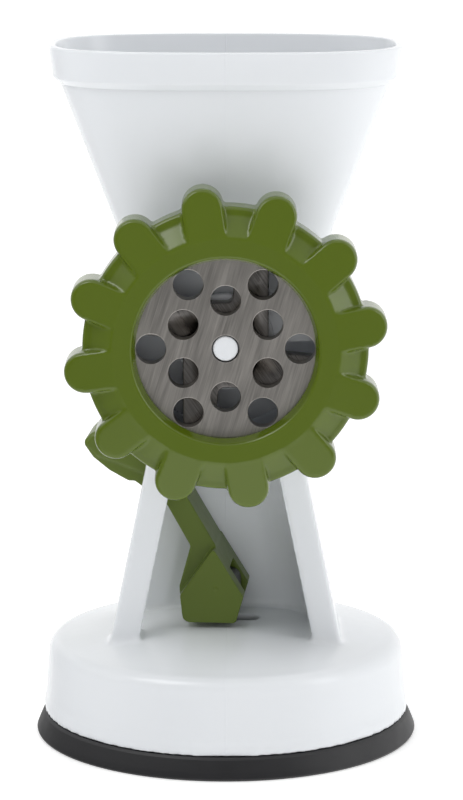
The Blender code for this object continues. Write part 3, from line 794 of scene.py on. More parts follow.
@dataclass
class FeedHousing:
    """The hopper and barrel moulding with its thread, bearing neck, bush and plate key."""

    finishes: Finishes
    rim_half_x: float = HOUSING_BOX[1].x
    rim_half_y: float = 38.7 * MM
    rim_top: float = HOUSING_BOX[1].z
    rim_height: float = 11.5 * MM
    rim_step: float = 3.5 * MM
    rim_taper: float = 1.3 * MM
    rim_land: float = 2.1 * MM
    wall: float = 2.5 * MM
    throat_x: float = 33.6 * MM
    throat_y: float = 25 * MM
    throat_top: float = 162 * MM
    foot: float = 134 * MM
    front: float = HOUSING_BOX[0].y
    rear: float = 34 * MM
    neck_rear: float = HOUSING_BOX[1].y
    neck_r: float = 13 * MM
    neck_bore_r: float = 10.3 * MM
    thread_r: float = 35.3 * MM
    thread_root_r: float = 34.2 * MM
    thread_pitch: float = 4 * MM
    bore_r: float = 29.5 * MM
    seat_r: float = 31.4 * MM
    seat_y: float = -45.7 * MM
    squareness: float = 2.8

    def ring(self, half_x: float, half_y: float, z: float, count: int = 128) -> list[Vector]:
        """One level of the hopper, a superellipse.

        Args:
            half_x: Half its width.
            half_y: Half its depth.
            z: Its height.
            count: Its points.

        Returns:
            The points.
        """
        power = 2 / self.squareness
        points = []
        for i in range(count):
            c, s = math.cos(math.tau * i / count), math.sin(math.tau * i / count)
            x = half_x * math.copysign(abs(c) ** power, c)
            points.append(Vector((x, half_y * math.copysign(abs(s) ** power, s), z)))
        return points

    def levels(self, sizes: Iterable[tuple[float, float]]) -> list[list[Vector]]:
        """Rings of the rim's size, each moved in by an inset.

        Args:
            sizes: The insets and the heights below the rim's top.

        Returns:
            The rings.
        """
        half_x, half_y, top = self.rim_half_x, self.rim_half_y, self.rim_top
        return [self.ring(half_x - inset, half_y - inset, top - drop) for inset, drop in sizes]

    def outside(self) -> Mesh:
        """The hopper's outer shape, up to the middle of the rim."""
        lower = [
            self.ring(self.throat_x - 0.6 * MM, self.throat_y, self.foot),
            self.ring(self.throat_x, self.throat_y, self.throat_top),
        ]
        upper = self.levels([(self.rim_step, self.rim_height), (self.rim_step, self.rim_height - 2.2 * MM)])
        return loft(lower + upper)

    def inside(self) -> Mesh:
        """The space inside the hopper and its throat."""
        lower = [
            self.ring(self.throat_x - 5 * MM, self.throat_y - 3.6 * MM, self.foot - 4 * MM),
            self.ring(self.throat_x - self.wall, self.throat_y - self.wall, self.throat_top),
        ]
        inset = self.rim_step + self.wall
        mouth = inset - 0.8 * MM
        upper = self.levels([(inset, self.rim_height + 0.8 * MM), (mouth, 8 * MM), (mouth, -1 * MM)])
        return loft(lower + upper)

    def rim(self) -> Mesh:
        """The stepped band round the hopper's mouth, with crisp edges and a narrow flat top."""
        high = self.rim_height
        section = [
            (self.rim_step + self.wall + 0.05 * MM, high + 1.4 * MM, 0),
            (self.rim_taper + self.wall + 0.2 * MM, high - 2.4 * MM, 2 * MM),
            (self.rim_land, 0, 0.45 * MM),
            (0, 0, 0.6 * MM),
            (self.rim_taper, high - 1.8 * MM, 0.9 * MM),
            (self.rim_step - 0.1 * MM, high, 0.5 * MM),
            (self.rim_step + 0.2 * MM, high + 0.2 * MM, 0),
        ]
        outline = rounded(section, 4)
        made = bmesh.new()
        rings = [[made.verts.new(point) for point in ring] for ring in self.levels(outline)]
        for lower, upper in zip(rings, rings[1:] + rings[:1]):
            for k in range(len(lower)):
                after = (k + 1) % len(lower)
                made.faces.new((lower[k], lower[after], upper[after], upper[k]))
        return made

    def thread(self) -> Mesh:
        """The trapezoid thread round the barrel's mouth."""
        turns = 2.4
        steps = int(turns * 72)
        start = self.front + 1.6 * MM
        rings = []
        for i in range(steps + 1):
            t = i / steps
            angle = math.tau * turns * t
            y = start + self.thread_pitch * turns * t
            swell = min(1.0, 9 * t, 9 * (1 - t)) ** 0.5
            low = self.thread_root_r - 0.5 * MM
            crest = low + (self.thread_r - 0.05 * MM - self.thread_root_r + 0.5 * MM) * swell
            root = self.thread_root_r - 1.2 * MM
            ring = [(root, -1.5), (crest, -0.7), (crest, 0.7), (root, 1.5)]
            rings.append(
                [
                    Vector((r * math.cos(angle), y + shift * MM, AXIS_Z + r * math.sin(angle)))
                    for r, shift in ring
                ]
            )
        return loft(rings)

    def build(self) -> None:
        """Makes the moulding, the rim and the thread, and paints the bush and the key."""
        barrel = [
            (0, self.front, 0),
            (self.thread_root_r, self.front, 0.8 * MM),
            (self.thread_root_r, self.rear - 0.01 * MM, 3 * MM),
            (self.neck_r, self.rear, 1.5 * MM),
            (self.neck_r, self.neck_rear, 1 * MM),
            (0, self.neck_rear, 0),
        ]
        moulding = to_object(along_y(turned(barrel, 128), *AXIS), "hopper_and_barrel")
        carve(moulding, self.outside(), "UNION")
        carve(moulding, self.inside())
        bore = [
            (0, self.front - 5 * MM, 0),
            (self.seat_r, self.front - 5 * MM, 0),
            (self.seat_r, self.seat_y, 0),
            (self.bore_r, self.seat_y, 0),
            (self.bore_r, 30 * MM, 0),
            (self.neck_bore_r, 30 * MM, 0),
            (self.neck_bore_r, self.neck_rear + 5 * MM, 0),
            (0, self.neck_rear + 5 * MM, 0),
        ]
        carve(moulding, along_y(turned(bore, 128), *AXIS))
        moulded(moulding, 0.92 * MM, 5)
        dress(moulding, self.finishes.white_seamed, Slot.WHITE, Body.STAND, "feed_housing")
        rim = to_object(self.rim(), "hopper_rim", 50)
        dress(rim, self.finishes.white_seamed, Slot.WHITE, Body.STAND)
        thread = to_object(self.thread(), "barrel_thread", 60)
        dress(thread, self.finishes.white, Slot.WHITE, Body.STAND)
        repaint("bearing_bush", self.finishes.nylon)
        repaint("plate_key", self.finishes.steel)


# --- stand -------------------------------------------------------------------------------------------------


@dataclass
class SuctionStand:
    """The round base with its splayed, open-fronted pedestal."""

    finishes: Finishes
    bottom: float = STAND_BOX[0].z
    bottom_r: float = STAND_BOX[1].x
    top_r: float = 56.9 * MM
    edge: float = 4.8 * MM
    dome_edge: float = 31 * MM
    dome_top: float = 36.3 * MM
    wall: float = 2.6 * MM
    front: float = -22 * MM
    rear: float = 21 * MM
    inner_rear: float = 16.2 * MM
    foot: float = 31 * MM
    top: float = STAND_BOX[1].z + 4 * MM
    half: float = 37 * MM
    taper: float = 0.205
    strip: float = 8.9 * MM
    roof: float = 94 * MM
    opening_right: float = -14 * MM
    opening_top: float = 103 * MM
    post_depth: float = 9.6 * MM
    opening_rear: float = 15.4 * MM
    slot_half_x: float = 10.4 * MM
    slot_half_y: float = 3.5 * MM

    def shell_profile(self, inset: float) -> list[Corner]:
        """The base's outline from its bottom edge to the middle of the dome.

        Args:
            inset: How far it is moved in.

        Returns:
            Corners as (radius, height, 0).
        """
        centre_r, centre_z = self.top_r - self.edge, self.dome_edge - self.edge
        corners = [(self.bottom_r - inset, self.bottom, 0.0)]
        if not inset:
            corners.append((self.bottom_r, self.bottom + 3.2 * MM, 0.0))
            corners.append((self.bottom_r - 0.5 * MM, self.bottom + 3.8 * MM, 0.0))
        for k in range(13):
            angle = math.radians(4 + 86 * k / 12)
            reach = self.edge - inset
            corners.append((centre_r + reach * math.cos(angle), centre_z + reach * math.sin(angle), 0.0))
        for k in range(1, 13):
            radius = centre_r * (1 - k / 12)
            rise = (self.dome_top - self.dome_edge) * (1 - (radius / centre_r) ** 2)
            corners.append((radius, self.dome_edge + rise - inset, 0.0))
        return corners

    def ring(self, z: float, wall: float, front: float, rear: float, corner: float) -> list[Vector]:
        """One level of the pedestal.

        Args:
            z: Its height.
            wall: How far it is moved in at the sides.
            front: Its front Y.
            rear: Its rear Y.
            corner: The rear corners' radius.

        Returns:
            The points.
        """
        half = self.half - self.taper * (z - self.foot) - wall
        front_corner = 0.0 if wall else 1.2 * MM
        corners = [(-half, front, front_corner), (half, front, front_corner)]
        corners += [(half, rear, corner), (-half, rear, corner)]
        return [Vector((x, y, z)) for x, y in rounded(corners, 10)]

    def build(self) -> None:
        """Makes the stand and paints its screws."""
        outer = [self.ring(z, 0, self.front, self.rear, 15 * MM) for z in (self.foot, self.top)]
        stand = to_object(loft(outer), "base_and_pedestal")
        inner_front = self.front - 8 * MM
        heights = (self.foot - 8 * MM, self.roof)
        inner = [self.ring(z, self.strip, inner_front, self.inner_rear, 12 * MM) for z in heights]
        carve(stand, loft(inner))
        opening_low = (-60 * MM, self.front + self.post_depth, self.foot - 9 * MM)
        carve(stand, block(opening_low, (self.opening_right, self.opening_rear, self.opening_top)))
        shell = self.shell_profile(0) + list(reversed(self.shell_profile(self.wall)))
        carve(stand, turned(shell, 160), "UNION")
        carve(stand, rod(BARREL_R + 0.15 * MM, -60 * MM, 60 * MM, AXIS, 128))
        signs = ((-1, -1), (1, -1), (1, 1), (-1, 1))
        slot = rounded([(x * self.slot_half_x, y * self.slot_half_y, 3.4 * MM) for x, y in signs], 8)
        carve(stand, loft([[Vector((x, y, z)) for x, y in slot] for z in (28 * MM, 40 * MM)]))
        for y in SCREW_PLACES:
            carve(stand, post(2.3 * MM, 80 * MM, 110 * MM, (0, y)))
        moulded(stand, 0.9 * MM, 4)
        dress(stand, self.finishes.white_seamed, Slot.WHITE, Body.STAND, "suction_stand")
        for node in ("saddle_screw_front", "saddle_screw_rear"):
            repaint(node, self.finishes.steel)


# --- nut, plate and knife ----------------------------------------------------------------------------------


@dataclass
class RingNut:
    """The green ring nut with its finger lobes."""

    finishes: Finishes
    front: float = NUT_BOX[0].y
    rear: float = NUT_BOX[1].y
    lip: float = 5 * MM
    opening_r: float = 28.3 * MM
    opening_rear_r: float = 26.9 * MM
    flat_r: float = 34.3 * MM
    slope_r: float = 40.8 * MM
    slope: float = 4.5 * MM
    body_r: float = 43.2 * MM
    edge: float = 2.4 * MM
    lobe_root: float = 34 * MM
    lobe_r: float = 49.3 * MM
    lobe_half: float = 6.3 * MM
    lobe_count: int = 12
    lobe_turn: float = math.radians(99.3)
    lobe_fall: float = 0.2
    bore_r: float = 35.8 * MM

    def lobe(self) -> Mesh:
        """One finger lobe on the +X side, its face falling away towards its tip and its flanks drafted."""
        tip = self.lobe_r - self.lobe_half
        rings = []
        for inset, depth in ((0.75 * MM, 0.0), (0.3 * MM, 0.55 * MM), (0.0, 1.6 * MM), (0.0, None)):
            half = self.lobe_half - inset
            outline = [(self.lobe_root, -half)]
            for k in range(25):
                angle = math.radians(-90 + 180 * k / 24)
                outline.append((tip + half * math.cos(angle), half * math.sin(angle)))
            outline.append((self.lobe_root, half))
            ring = []
            for x, z in outline:
                fall = 0.06 * MM + self.lobe_fall * (x - self.lobe_root)
                y = self.rear if depth is None else self.front + fall + depth
                ring.append(Vector((x, y, z + AXIS_Z)))
            rings.append(ring)
        return loft(rings)

    def build(self) -> None:
        """Makes the nut."""
        body = [
            (self.opening_r, self.front, 0.5 * MM),
            (self.flat_r, self.front, 1.0 * MM),
            (self.slope_r, self.front + self.slope, 0.8 * MM),
            (self.body_r, self.front + self.slope + 0.5 * MM, self.edge),
            (self.body_r, self.rear, 0.5 * MM),
            (self.bore_r, self.rear, 0),
            (self.bore_r, self.front + self.lip, 0),
            (self.opening_rear_r, self.front + self.lip, 0.2 * MM),
        ]
        nut = to_object(along_y(turned(body, 192), *AXIS), "lobed_ring_nut")
        lobes = []
        for i in range(self.lobe_count):
            shape = self.lobe()
            turn = Matrix.Rotation(-(self.lobe_turn + math.tau * i / self.lobe_count), 4, "Y")
            bmesh.ops.rotate(shape, cent=(0, 0, AXIS_Z), matrix=turn, verts=shape.verts)
            lobes.append(shape)
        carve(nut, gathered(lobes), "UNION")
        carve(nut, rod(self.bore_r, self.front + self.lip, self.rear + 5 * MM, AXIS, 192))
        moulded(nut, 0.5 * MM, 3)
        dress(nut, self.finishes.green, Slot.GREEN, Body.NUT, "ring_nut")


@dataclass
class CuttingPlate:
    """The ground steel plate with its rings of holes."""

    finishes: Finishes
    radius: float = PLATE_BOX[1].x
    front: float = PLATE_BOX[0].y
    rear: float = PLATE_BOX[1].y
    hole_r: float = 4.57 * MM
    inner_r: float = 14.7 * MM
    outer_r: float = 22.5 * MM
    centre_r: float = 4.18 * MM
    key_r: float = 2.2 * MM

    def holes(self) -> list[Mesh]:
        """Cutters for the two rings of holes, the middle hole and the keyway."""
        start, end = self.front - 1 * MM, self.rear + 1 * MM
        places = [(self.inner_r, 30 + 60 * i) for i in range(6)] + [(self.outer_r, 60 * i) for i in range(6)]
        cutters = []
        for reach, degrees in places:
            angle = math.radians(degrees)
            centre = (reach * math.cos(angle), AXIS_Z + reach * math.sin(angle))
            cutters.append(rod(self.hole_r, start, end, centre, 56))
        cutters.append(rod(self.centre_r, start, end, AXIS, 56))
        cutters.append(rod(self.key_r, start, end, (0, AXIS_Z - self.radius + 0.5 * MM), 32))
        return cutters

    def build(self) -> None:
        """Makes the plate."""
        plate = to_object(rod(self.radius, self.front, self.rear, AXIS, 160), "drilled_plate")
        carve(plate, gathered(self.holes()))
        edge = plate.modifiers.new("edge", "BEVEL")
        edge.width = 0.18 * MM
        edge.segments = 2
        edge.limit_method = "ANGLE"
        edge.angle_limit = math.radians(50)
        evaluated(plate)
        plate.data.set_sharp_from_angle(angle=math.radians(20))
        dress(plate, self.finishes.plate, Slot.PLATE, Body.PLATE, "cutting_plate")


@dataclass
class CrossKnife:
    """The cross knife behind the plate."""

    finishes: Finishes
    start: float = PLATE_BOX[1].y + GAP
    end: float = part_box("knife")[1].y
    half: float = 13 * MM
    square: float = 4.8 * MM

    def build(self) -> None:
        """Makes the knife, its blades hollow behind their straight leading edges."""
        blade = (
            (self.half, 24.8 * MM, 0.6 * MM),
            (8 * MM, 26.8 * MM, 0.6 * MM),
            (3.5 * MM, 27.7 * MM, 0.6 * MM),
            (2 * MM, self.half, 2 * MM),
        )
        corners = []
        for i in range(4):
            c, s = math.cos(math.tau * i / 4), math.sin(math.tau * i / 4)
            corners += [(x * c - z * s, AXIS_Z + x * s + z * c, radius) for x, z, radius in blade]
        blades = to_object(slab(rounded(corners), self.start, self.end, 0.5 * MM), "cross_knife", 25)
        side = self.square
        eye_low = (-side, self.start - 1 * MM, AXIS_Z - side)
        carve(blades, block(eye_low, (side, self.end + 1 * MM, AXIS_Z + side)))
        dress(blades, self.finishes.blade, Slot.STEEL, Body.DRIVE, "knife")


# --- auger and crank ---------------------------------------------------------------------------------------


@dataclass
class FeedScrew:
    """The white feed screw with its front pin, flight, journal and crank square."""

    finishes: Finishes
    pin_front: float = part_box("auger")[0].y
    pin_r: float = 3.78 * MM
    front: float = -39 * MM
    rear: float = 27.5 * MM
    turns: float = 2.75
    thickness: float = 4 * MM
    journal_r: float = 7.5 * MM
    neck_rear: float = 44.6 * MM
    knife_square_half: float = 4.5 * MM
    crank_square_half: float = 6 * MM
    drive_rear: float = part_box("auger")[1].y

    def flight(self) -> Mesh:
        """The flight, a bar with a rounded edge bent round a helix."""
        steps = 220
        rings = []
        side = ((7, 0.5), (20, 0.34), (27.8, 0.17), (28.6, 0.07))
        profile = side + tuple((r, -half) for r, half in reversed(side))
        travel = self.rear - self.front - self.thickness
        for i in range(steps + 1):
            t = i / steps
            angle = math.tau * self.turns * t
            y = self.front + self.thickness / 2 + travel * (0.75 * t + 0.25 * t * t)
            c, s = math.cos(angle), math.sin(angle)
            rings.append(
                [Vector((r * MM * c, y + half * self.thickness, AXIS_Z + r * MM * s)) for r, half in profile]
            )
        return loft(rings)

    def build(self) -> None:
        """Makes the screw."""
        core = [
            (0, self.pin_front, 0),
            (self.pin_r, self.pin_front, 0.45 * MM),
            (self.pin_r, self.front, 0),
            (15 * MM, self.front, 0.8 * MM),
            (11 * MM, self.rear, 0.5 * MM),
            (self.journal_r, self.rear, 0),
            (self.journal_r, self.neck_rear, 0.4 * MM),
            (5 * MM, self.neck_rear, 0),
            (5 * MM, self.drive_rear - 1 * MM, 0),
            (0, self.drive_rear - 1 * MM, 0),
        ]
        screw = to_object(along_y(turned(core, 96), *AXIS), "feed_screw")
        carve(screw, self.flight(), "UNION")
        half = self.knife_square_half
        square_low = (-half, PLATE_BOX[1].y + 0.5 * MM, AXIS_Z - half)
        carve(screw, block(square_low, (half, self.front + 2 * MM, AXIS_Z + half)), "UNION")
        half = self.crank_square_half
        carve(screw, block((-half, 44 * MM, AXIS_Z - half), (half, self.drive_rear, AXIS_Z + half)), "UNION")
        carve(screw, rod(3 * MM, 46 * MM, 60 * MM, AXIS, 40))
        screw.data.set_sharp_from_angle(angle=math.radians(32))
        dress(screw, self.finishes.white, Slot.WHITE, Body.DRIVE, "auger")
        repaint("thrust_washer", self.finishes.nylon)


@dataclass
class Crank:
    """The crank arm, its finger screw, and the turning knob on its spindle."""

    finishes: Finishes
    hub_front: float = HUB_BOX[0].y
    hub_rear: float = HUB_BOX[1].y
    hub_r: float = 13 * MM
    arm_front: float = 50.5 * MM
    arm_rear: float = 57.5 * MM
    eye_half: float = 6.3 * MM
    knob_front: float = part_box("crank_knob")[0].y
    knob_rear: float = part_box("crank_knob")[1].y
    knob_r: float = 12.5 * MM

    def arm(self) -> None:
        """The arm with its raised hub, a shallow channel down its back and its square eye."""
        outline = [(-8 * MM, AXIS_Z), (-6.5 * MM, KNOB_Z)]
        for k in range(25):
            angle = math.radians(190 + 160 * k / 24)
            outline.append((9 * MM * math.cos(angle), KNOB_Z + 9 * MM * math.sin(angle)))
        outline += [(6.5 * MM, KNOB_Z), (8 * MM, AXIS_Z)]
        arm = to_object(slab(outline, self.arm_front, self.arm_rear), "crank_lever")
        carve(arm, rod(self.hub_r, self.hub_front, self.hub_rear, AXIS, 96), "UNION")
        low, high, round_off = KNOB_Z + 14 * MM, AXIS_Z - 18 * MM, 3 * MM
        channel = rounded(
            [
                (-3.6 * MM, low, round_off),
                (3.6 * MM, low, round_off),
                (4.6 * MM, high, round_off),
                (-4.6 * MM, high, round_off),
            ],
            6,
        )
        carve(arm, slab(channel, self.arm_front - 1 * MM, self.arm_front + 2 * MM))
        carve(arm, slab(channel, self.arm_rear - 2 * MM, self.arm_rear + 1 * MM))
        half = self.eye_half
        carve(arm, block((-half, self.hub_front - 2 * MM, AXIS_Z - half), (half, 57.1 * MM, AXIS_Z + half)))
        carve(arm, rod(3 * MM, 50 * MM, 62 * MM, AXIS, 40))
        carve(arm, rod(3.2 * MM, self.arm_front + 2 * MM, self.arm_rear + 2 * MM, (0, KNOB_Z), 40))
        moulded(arm, 0.42 * MM, 4)
        dress(arm, self.finishes.white, Slot.WHITE, Body.DRIVE, "crank_arm")

    def finger_screw(self) -> None:
        """The screw that holds the crank, with two finger wings."""
        face = self.hub_rear + GAP
        profile = [
            (0, 47 * MM, 0),
            (2.6 * MM, 47 * MM, 0),
            (2.6 * MM, face, 0),
            (9 * MM, face, 0.5 * MM),
            (9 * MM, face + 2.2 * MM, 0.8 * MM),
            (6 * MM, face + 3 * MM, 0.8 * MM),
            (5.4 * MM, face + 10 * MM, 1.4 * MM),
            (0, face + 10 * MM, 0),
        ]
        screw = to_object(along_y(turned(profile, 96), *AXIS), "crank_finger_screw")
        wings = ((-12.8, 2), (12.8, 2), (12, 9), (-12, 9))
        outline = rounded([(x * MM, y * MM, 3.2 * MM) for x, y in wings], 8)
        wing = bmesh.new()
        base = wing.faces.new([wing.verts.new((x, face + y, AXIS_Z - 1.8 * MM)) for x, y in outline])
        grown = bmesh.ops.extrude_face_region(wing, geom=[base])["geom"]
        moved = [g for g in grown if isinstance(g, bmesh.types.BMVert)]
        bmesh.ops.translate(wing, vec=(0, 0, 3.6 * MM), verts=moved)
        carve(screw, wing, "UNION")
        moulded(screw, 0.3 * MM, 4)
        dress(screw, self.finishes.green, Slot.GREEN, Body.DRIVE, "crank_screw")

    def knob(self) -> None:
        """The swelling knob and the spindle's head in its end."""
        profile = [
            (3.3 * MM, self.knob_front, 0),
            (8.8 * MM, self.knob_front, 0.8 * MM),
            (9.6 * MM, self.knob_front + 1.4 * MM, 0),
        ]
        length = self.knob_rear - self.knob_front
        for k in range(1, 22):
            t = k / 22
            swell = 9.6 * MM + 2.9 * MM * math.sin(math.pi * t * 0.62)
            profile.append((swell, self.knob_front + 2 * MM + (length - 8 * MM) * t, 0))
        profile += [
            (self.knob_r * 0.95, self.knob_rear - 4 * MM, 2 * MM),
            (self.knob_r * 0.78, self.knob_rear, 2.4 * MM),
            (5.6 * MM, self.knob_rear, 0.5 * MM),
            (5.6 * MM, self.knob_rear - 3 * MM, 0.3 * MM),
            (3.3 * MM, self.knob_rear - 3 * MM, 0),
        ]
        knob = to_object(along_y(turned(profile, 96), 0, KNOB_Z), "turning_knob")
        dress(knob, self.finishes.green, Slot.GREEN, Body.KNOB, "crank_knob")
        face = self.knob_rear - 3 * MM + GAP
        spindle = [
            (0, 53 * MM, 0),
            (3 * MM, 53 * MM, 0.3 * MM),
            (3 * MM, face, 0),
            (5 * MM, face, 0.3 * MM),
            (5 * MM, face + 2 * MM, 1.2 * MM),
            (0, face + 2.3 * MM, 0),
        ]
        pin = to_object(along_y(turned(spindle, 64), 0, KNOB_Z), "spindle")
        slot_low = (-6 * MM, face + 1.3 * MM, KNOB_Z - 0.5 * MM)
        carve(pin, block(slot_low, (6 * MM, face + 4 * MM, KNOB_Z + 0.5 * MM)))
        dress(pin, self.finishes.steel, Slot.STEEL, Body.DRIVE, "knob_spindle")

    def build(self) -> None:
        """Makes the arm, the screw, the knob and the spindle."""
        self.arm()
        self.finger_screw()
        self.knob()


# --- suction parts -----------------------------------------------------------------------------------------


@dataclass
class SuctionLever:
    """The green cam lever with its fork, arm and thumb paddle."""

    finishes: Finishes
    cheek_half: float = 14 * MM
    arm_half: float = 10 * MM
    fork_half: float = 6.2 * MM
    fork_top: float = 54 * MM

    @staticmethod
    def outline(corners: Sequence[Corner]) -> list[Point]:
        """Rounds an outline given in millimetres.

        Args:
            corners: The corners as (x, z, radius) in millimetres.

        Returns:
            The points in metres.
        """
        return rounded([(x * MM, z * MM, r * MM) for x, z, r in corners], 8)

    def build(self) -> None:
        """Makes the lever."""
        side = [
            (-11.5, 39, 0), (2, 39, 0), (2, 46.3, 0), (-2.7, 62.4, 0.6), (-11, 76.7, 1), (-19, 90, 5),
            (-30, 95.5, 6), (-41.2, 98.6, 2.5), (-44.7, 94.9, 2), (-41.4, 90.1, 2), (-36.2, 85.9, 4),
            (-30.2, 82.6, 1.5), (-28.2, 82.6, 1), (-18, 75.1, 2), (-10.5, 61.7, 1.2), (-14.1, 48.5, 2),
            (-13.9, 45.9, 0.6),
        ]
        cheek = [(-12.6, 37.7, 2.4), (4.2, 37.7, 1), (6.7, 46.3, 0.8), (-3, 62, 0.8), (-13.6, 46.4, 1)]
        grip = [
            (-33, 88.4, 0.5), (-20, 83.2, 0.5), (-21, 90, 1), (-30, 94.6, 3), (-40.9, 97.6, 2),
            (-43.6, 94.6, 1.5), (-40, 90.6, 2),
        ]
        lever = to_object(slab(self.outline(side), -self.arm_half, self.arm_half), "cam_lever")
        carve(lever, slab(self.outline(grip), -self.arm_half - 0.7 * MM, self.arm_half + 0.7 * MM), "UNION")
        carve(lever, slab(self.outline(cheek), -self.cheek_half, self.cheek_half), "UNION")
        carve(lever, block((-30 * MM, -self.fork_half, 30 * MM), (15 * MM, self.fork_half, self.fork_top)))
        carve(lever, rod(2.3 * MM, -11.3 * MM, 17 * MM, (0, PIVOT_Z), 32))
        nub_start, nub_end = -self.cheek_half - 0.3 * MM, -self.cheek_half + 1 * MM
        carve(lever, rod(0.45 * MM, nub_start, nub_end, (-2.1 * MM, 48.9 * MM), 24), "UNION")
        moulded(lever, 0.34 * MM, 3)
        turn = Matrix.Rotation(-LEVER_YAW, 4, "Z")
        lever.data.transform(turn)
        dress(lever, self.finishes.lever, Slot.GREEN, Body.LEVER, "suction_lever")


@dataclass
class SuctionFoot:
    """The rubber cup, and what lifts its middle."""

    finishes: Finishes
    radius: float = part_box("suction_cup")[1].x
    top: float = 6.9 * MM
    base_r: float = STAND_BOX[1].x
    membrane: float = 2.4 * MM
    wall: float = 2.6 * MM

    def spring(self) -> None:
        """The return spring, a fine coil built at one length, though the real one shortens as the stem comes
        up.
        """
        low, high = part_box("return_spring")[0].z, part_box("return_spring")[1].z
        wire, coil_r, coils, per_turn, sides = 0.85 * MM, 7.2 * MM, 4.5, 48, 12
        steps = int(coils * per_turn)
        rings = []
        for i in range(steps + 1):
            angle = math.tau * coils * i / steps
            z = low + wire + (high - low - 2 * wire) * i / steps
            ring = []
            for k in range(sides):
                around = math.tau * k / sides
                radius = coil_r + wire * math.cos(around)
                height = z + wire * math.sin(around)
                ring.append(Vector((radius * math.cos(angle), radius * math.sin(angle), height)))
            rings.append(ring)
        coil = to_object(loft(rings), "coil_spring", 60)
        dress(coil, self.finishes.steel, Slot.STEEL, Body.STAND, "return_spring")
        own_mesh(coil)

    def build(self) -> None:
        """Makes the cup and the spring, and paints the stem's pieces."""
        wall_r = self.base_r - self.wall - GAP
        profile = [
            (0, 0, 0),
            (self.radius - 0.4 * MM, 0, 0.4 * MM),
            (self.radius, 0.8 * MM, 0.3 * MM),
            (self.radius - 0.7 * MM, 2.6 * MM, 1 * MM),
            (self.base_r + 0.3 * MM, self.top - 0.8 * MM, 0.5 * MM),
            (self.base_r - 0.4 * MM, self.top, 0.2 * MM),
            (wall_r, self.top, 0),
            (wall_r - 0.4 * MM, self.top + 6 * MM, 0.6 * MM),
            (wall_r - 4 * MM, self.top + 6 * MM, 0.6 * MM),
            (wall_r - 4.4 * MM, self.membrane, 1.5 * MM),
            (0, self.membrane, 0),
        ]
        cup = to_object(turned(profile, 192), "rubber_cup", 50)
        dress(cup, self.finishes.rubber, Slot.RUBBER, Body.STAND, "suction_cup")
        repaint("pressure_plate", self.finishes.white)
        for node in ("stem", "stem_nut", "lever_pin"):
            finish = self.finishes.dark_steel if node == "stem" else self.finishes.steel
            repaint(node, finish)
        self.spring()


# --- studio ------------------------------------------------------------------------------------------------


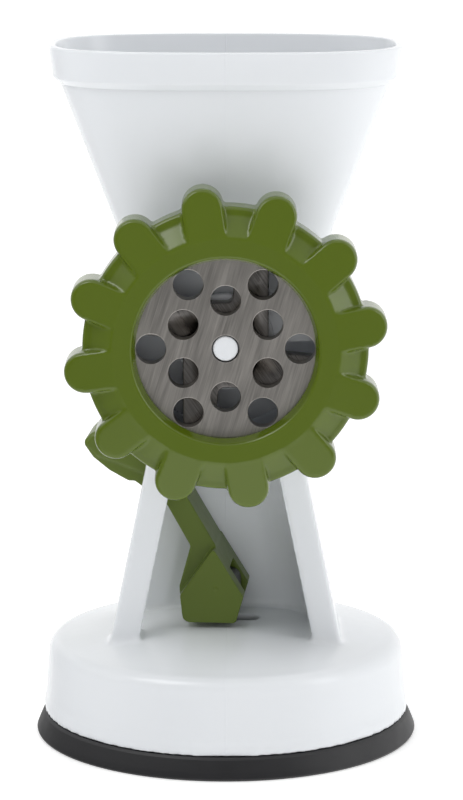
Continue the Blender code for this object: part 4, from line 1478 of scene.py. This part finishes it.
@dataclass
class Studio:
    """The pale floor, the soft light and the camera."""

    camera_distance: float = 1.01445
    camera_height: float = 0.30305
    camera_side: float = 0.0018
    camera_down: float = math.radians(10.927)
    lens: float = 146.25
    floor_size: float = 12.0
    sky_strength: float = 1.2
    front_strength: float = 0.25
    zenith_dimming: float = 0.25
    left_dimming: float = 0.75

    def floor(self) -> None:
        """The floor, level with the foot's underside."""
        made = bmesh.new()
        bmesh.ops.create_grid(made, x_segments=8, y_segments=8, size=self.floor_size / 2)
        bmesh.ops.translate(made, vec=(0, 0, -0.05 * MM), verts=made.verts)
        floor = to_object(made, "studio_floor")
        floor.data.materials.append(Floor().build())
        floor.visible_glossy = False

    def panel(
        self, name: str, place: Sequence[float], size: Point, power: float, mirrored: bool = True
    ) -> None:
        """A soft light that looks at the mincer.

        Args:
            name: Its name.
            place: Where it is.
            size: Its width and height.
            power: Its power in watts.
            mirrored: Whether glossy surfaces show it.
        """
        data = bpy.data.lights.new(name, "AREA")
        data.shape = "RECTANGLE"
        data.size, data.size_y = size
        data.energy = power
        lamp = bpy.data.objects.new(name, data)
        bpy.context.scene.collection.objects.link(lamp)
        lamp.location = place
        lamp.visible_glossy = mirrored
        aim = Vector((0, 0, 0.12)) - Vector(place)
        lamp.rotation_euler = aim.to_track_quat("-Z", "Y").to_euler()

    def sky(self) -> None:
        """The world: bright behind and below, dimmer overhead and low at the left, and dim in front."""
        world = bpy.data.worlds.new("studio")
        world.use_nodes = True
        tree = world.node_tree
        background = tree.nodes["Background"]
        place = tree.nodes.new("ShaderNodeTexCoord")
        parts = tree.nodes.new("ShaderNodeSeparateXYZ")
        tree.links.new(place.outputs["Generated"], parts.inputs[0])

        def maths(operation: str, *given: object) -> bpy.types.NodeSocket:
            """One Math node on sockets or numbers."""
            made = tree.nodes.new("ShaderNodeMath")
            made.operation = operation
            for socket, value in zip(made.inputs, given):
                if isinstance(value, bpy.types.NodeSocket):
                    tree.links.new(value, socket)
                else:
                    socket.default_value = value
            return made.outputs[0]

        def step(axis: str, low: float, high: float, first: float, last: float) -> bpy.types.NodeSocket:
            """A soft step along one axis of the view's direction."""
            made = tree.nodes.new("ShaderNodeMapRange")
            made.interpolation_type = "SMOOTHSTEP"
            tree.links.new(parts.outputs[axis], made.inputs["Value"])
            for name, number in (("From Min", low), ("From Max", high), ("To Min", first), ("To Max", last)):
                made.inputs[name].default_value = number
            return made.outputs[0]

        front = step("Y", -0.75, -0.2, 1.0, 0.0)
        level = maths("MULTIPLY", step("Z", -0.55, -0.35, 0.0, 1.0), step("Z", 0.6, 0.85, 1.0, 0.0))
        dim = maths("MULTIPLY", front, level)
        loss = maths("MULTIPLY", dim, self.sky_strength - self.front_strength)
        strength = maths("SUBTRACT", self.sky_strength, loss)
        zenith = step("Z", 0.4, 0.8, 1.0, 1.0 - self.zenith_dimming)
        left = maths("MULTIPLY", step("X", -0.8, -0.3, 1.0, 0.0), step("Z", 0.2, 0.5, 1.0, 0.0))
        shade = maths("SUBTRACT", 1.0, maths("MULTIPLY", left, self.left_dimming))
        strength = maths("MULTIPLY", maths("MULTIPLY", strength, zenith), shade)
        tree.links.new(strength, background.inputs["Strength"])
        background.inputs["Color"].default_value = (1, 1, 1, 1)
        bpy.context.scene.world = world

    def build(self) -> None:
        """Makes the studio."""
        self.floor()
        self.sky()
        scene = bpy.context.scene
        scene.view_settings.view_transform = "Standard"
        self.panel("key_panel", (-0.55, -0.35, 1.0), (0.5, 0.5), 2.9)
        self.panel("side_panel", (0.9, -0.35, 0.55), (0.3, 0.7), 1.3)
        self.panel("front_fill", (-0.1, -1.3, 0.16), (1.0, 0.6), 2.5, False)
        data = bpy.data.cameras.new("camera")
        data.lens = self.lens
        data.clip_start = 0.05
        camera = bpy.data.objects.new("camera", data)
        scene.collection.objects.link(camera)
        camera.location = (self.camera_side, -self.camera_distance, self.camera_height)
        camera.rotation_euler = (math.pi / 2 - self.camera_down, 0, 0)
        scene.camera = camera


def main() -> None:
    """Builds the studio and every piece."""
    logging.basicConfig(level=logging.INFO, format="%(name)s %(message)s")
    finishes = Finishes()
    Studio().build()
    builders = (
        FeedHousing, SuctionStand, RingNut, CuttingPlate, CrossKnife, FeedScrew, Crank, SuctionLever,
        SuctionFoot,
    )
    for builder in builders:
        builder(finishes).build()


if __name__ == "__main__":
    main()
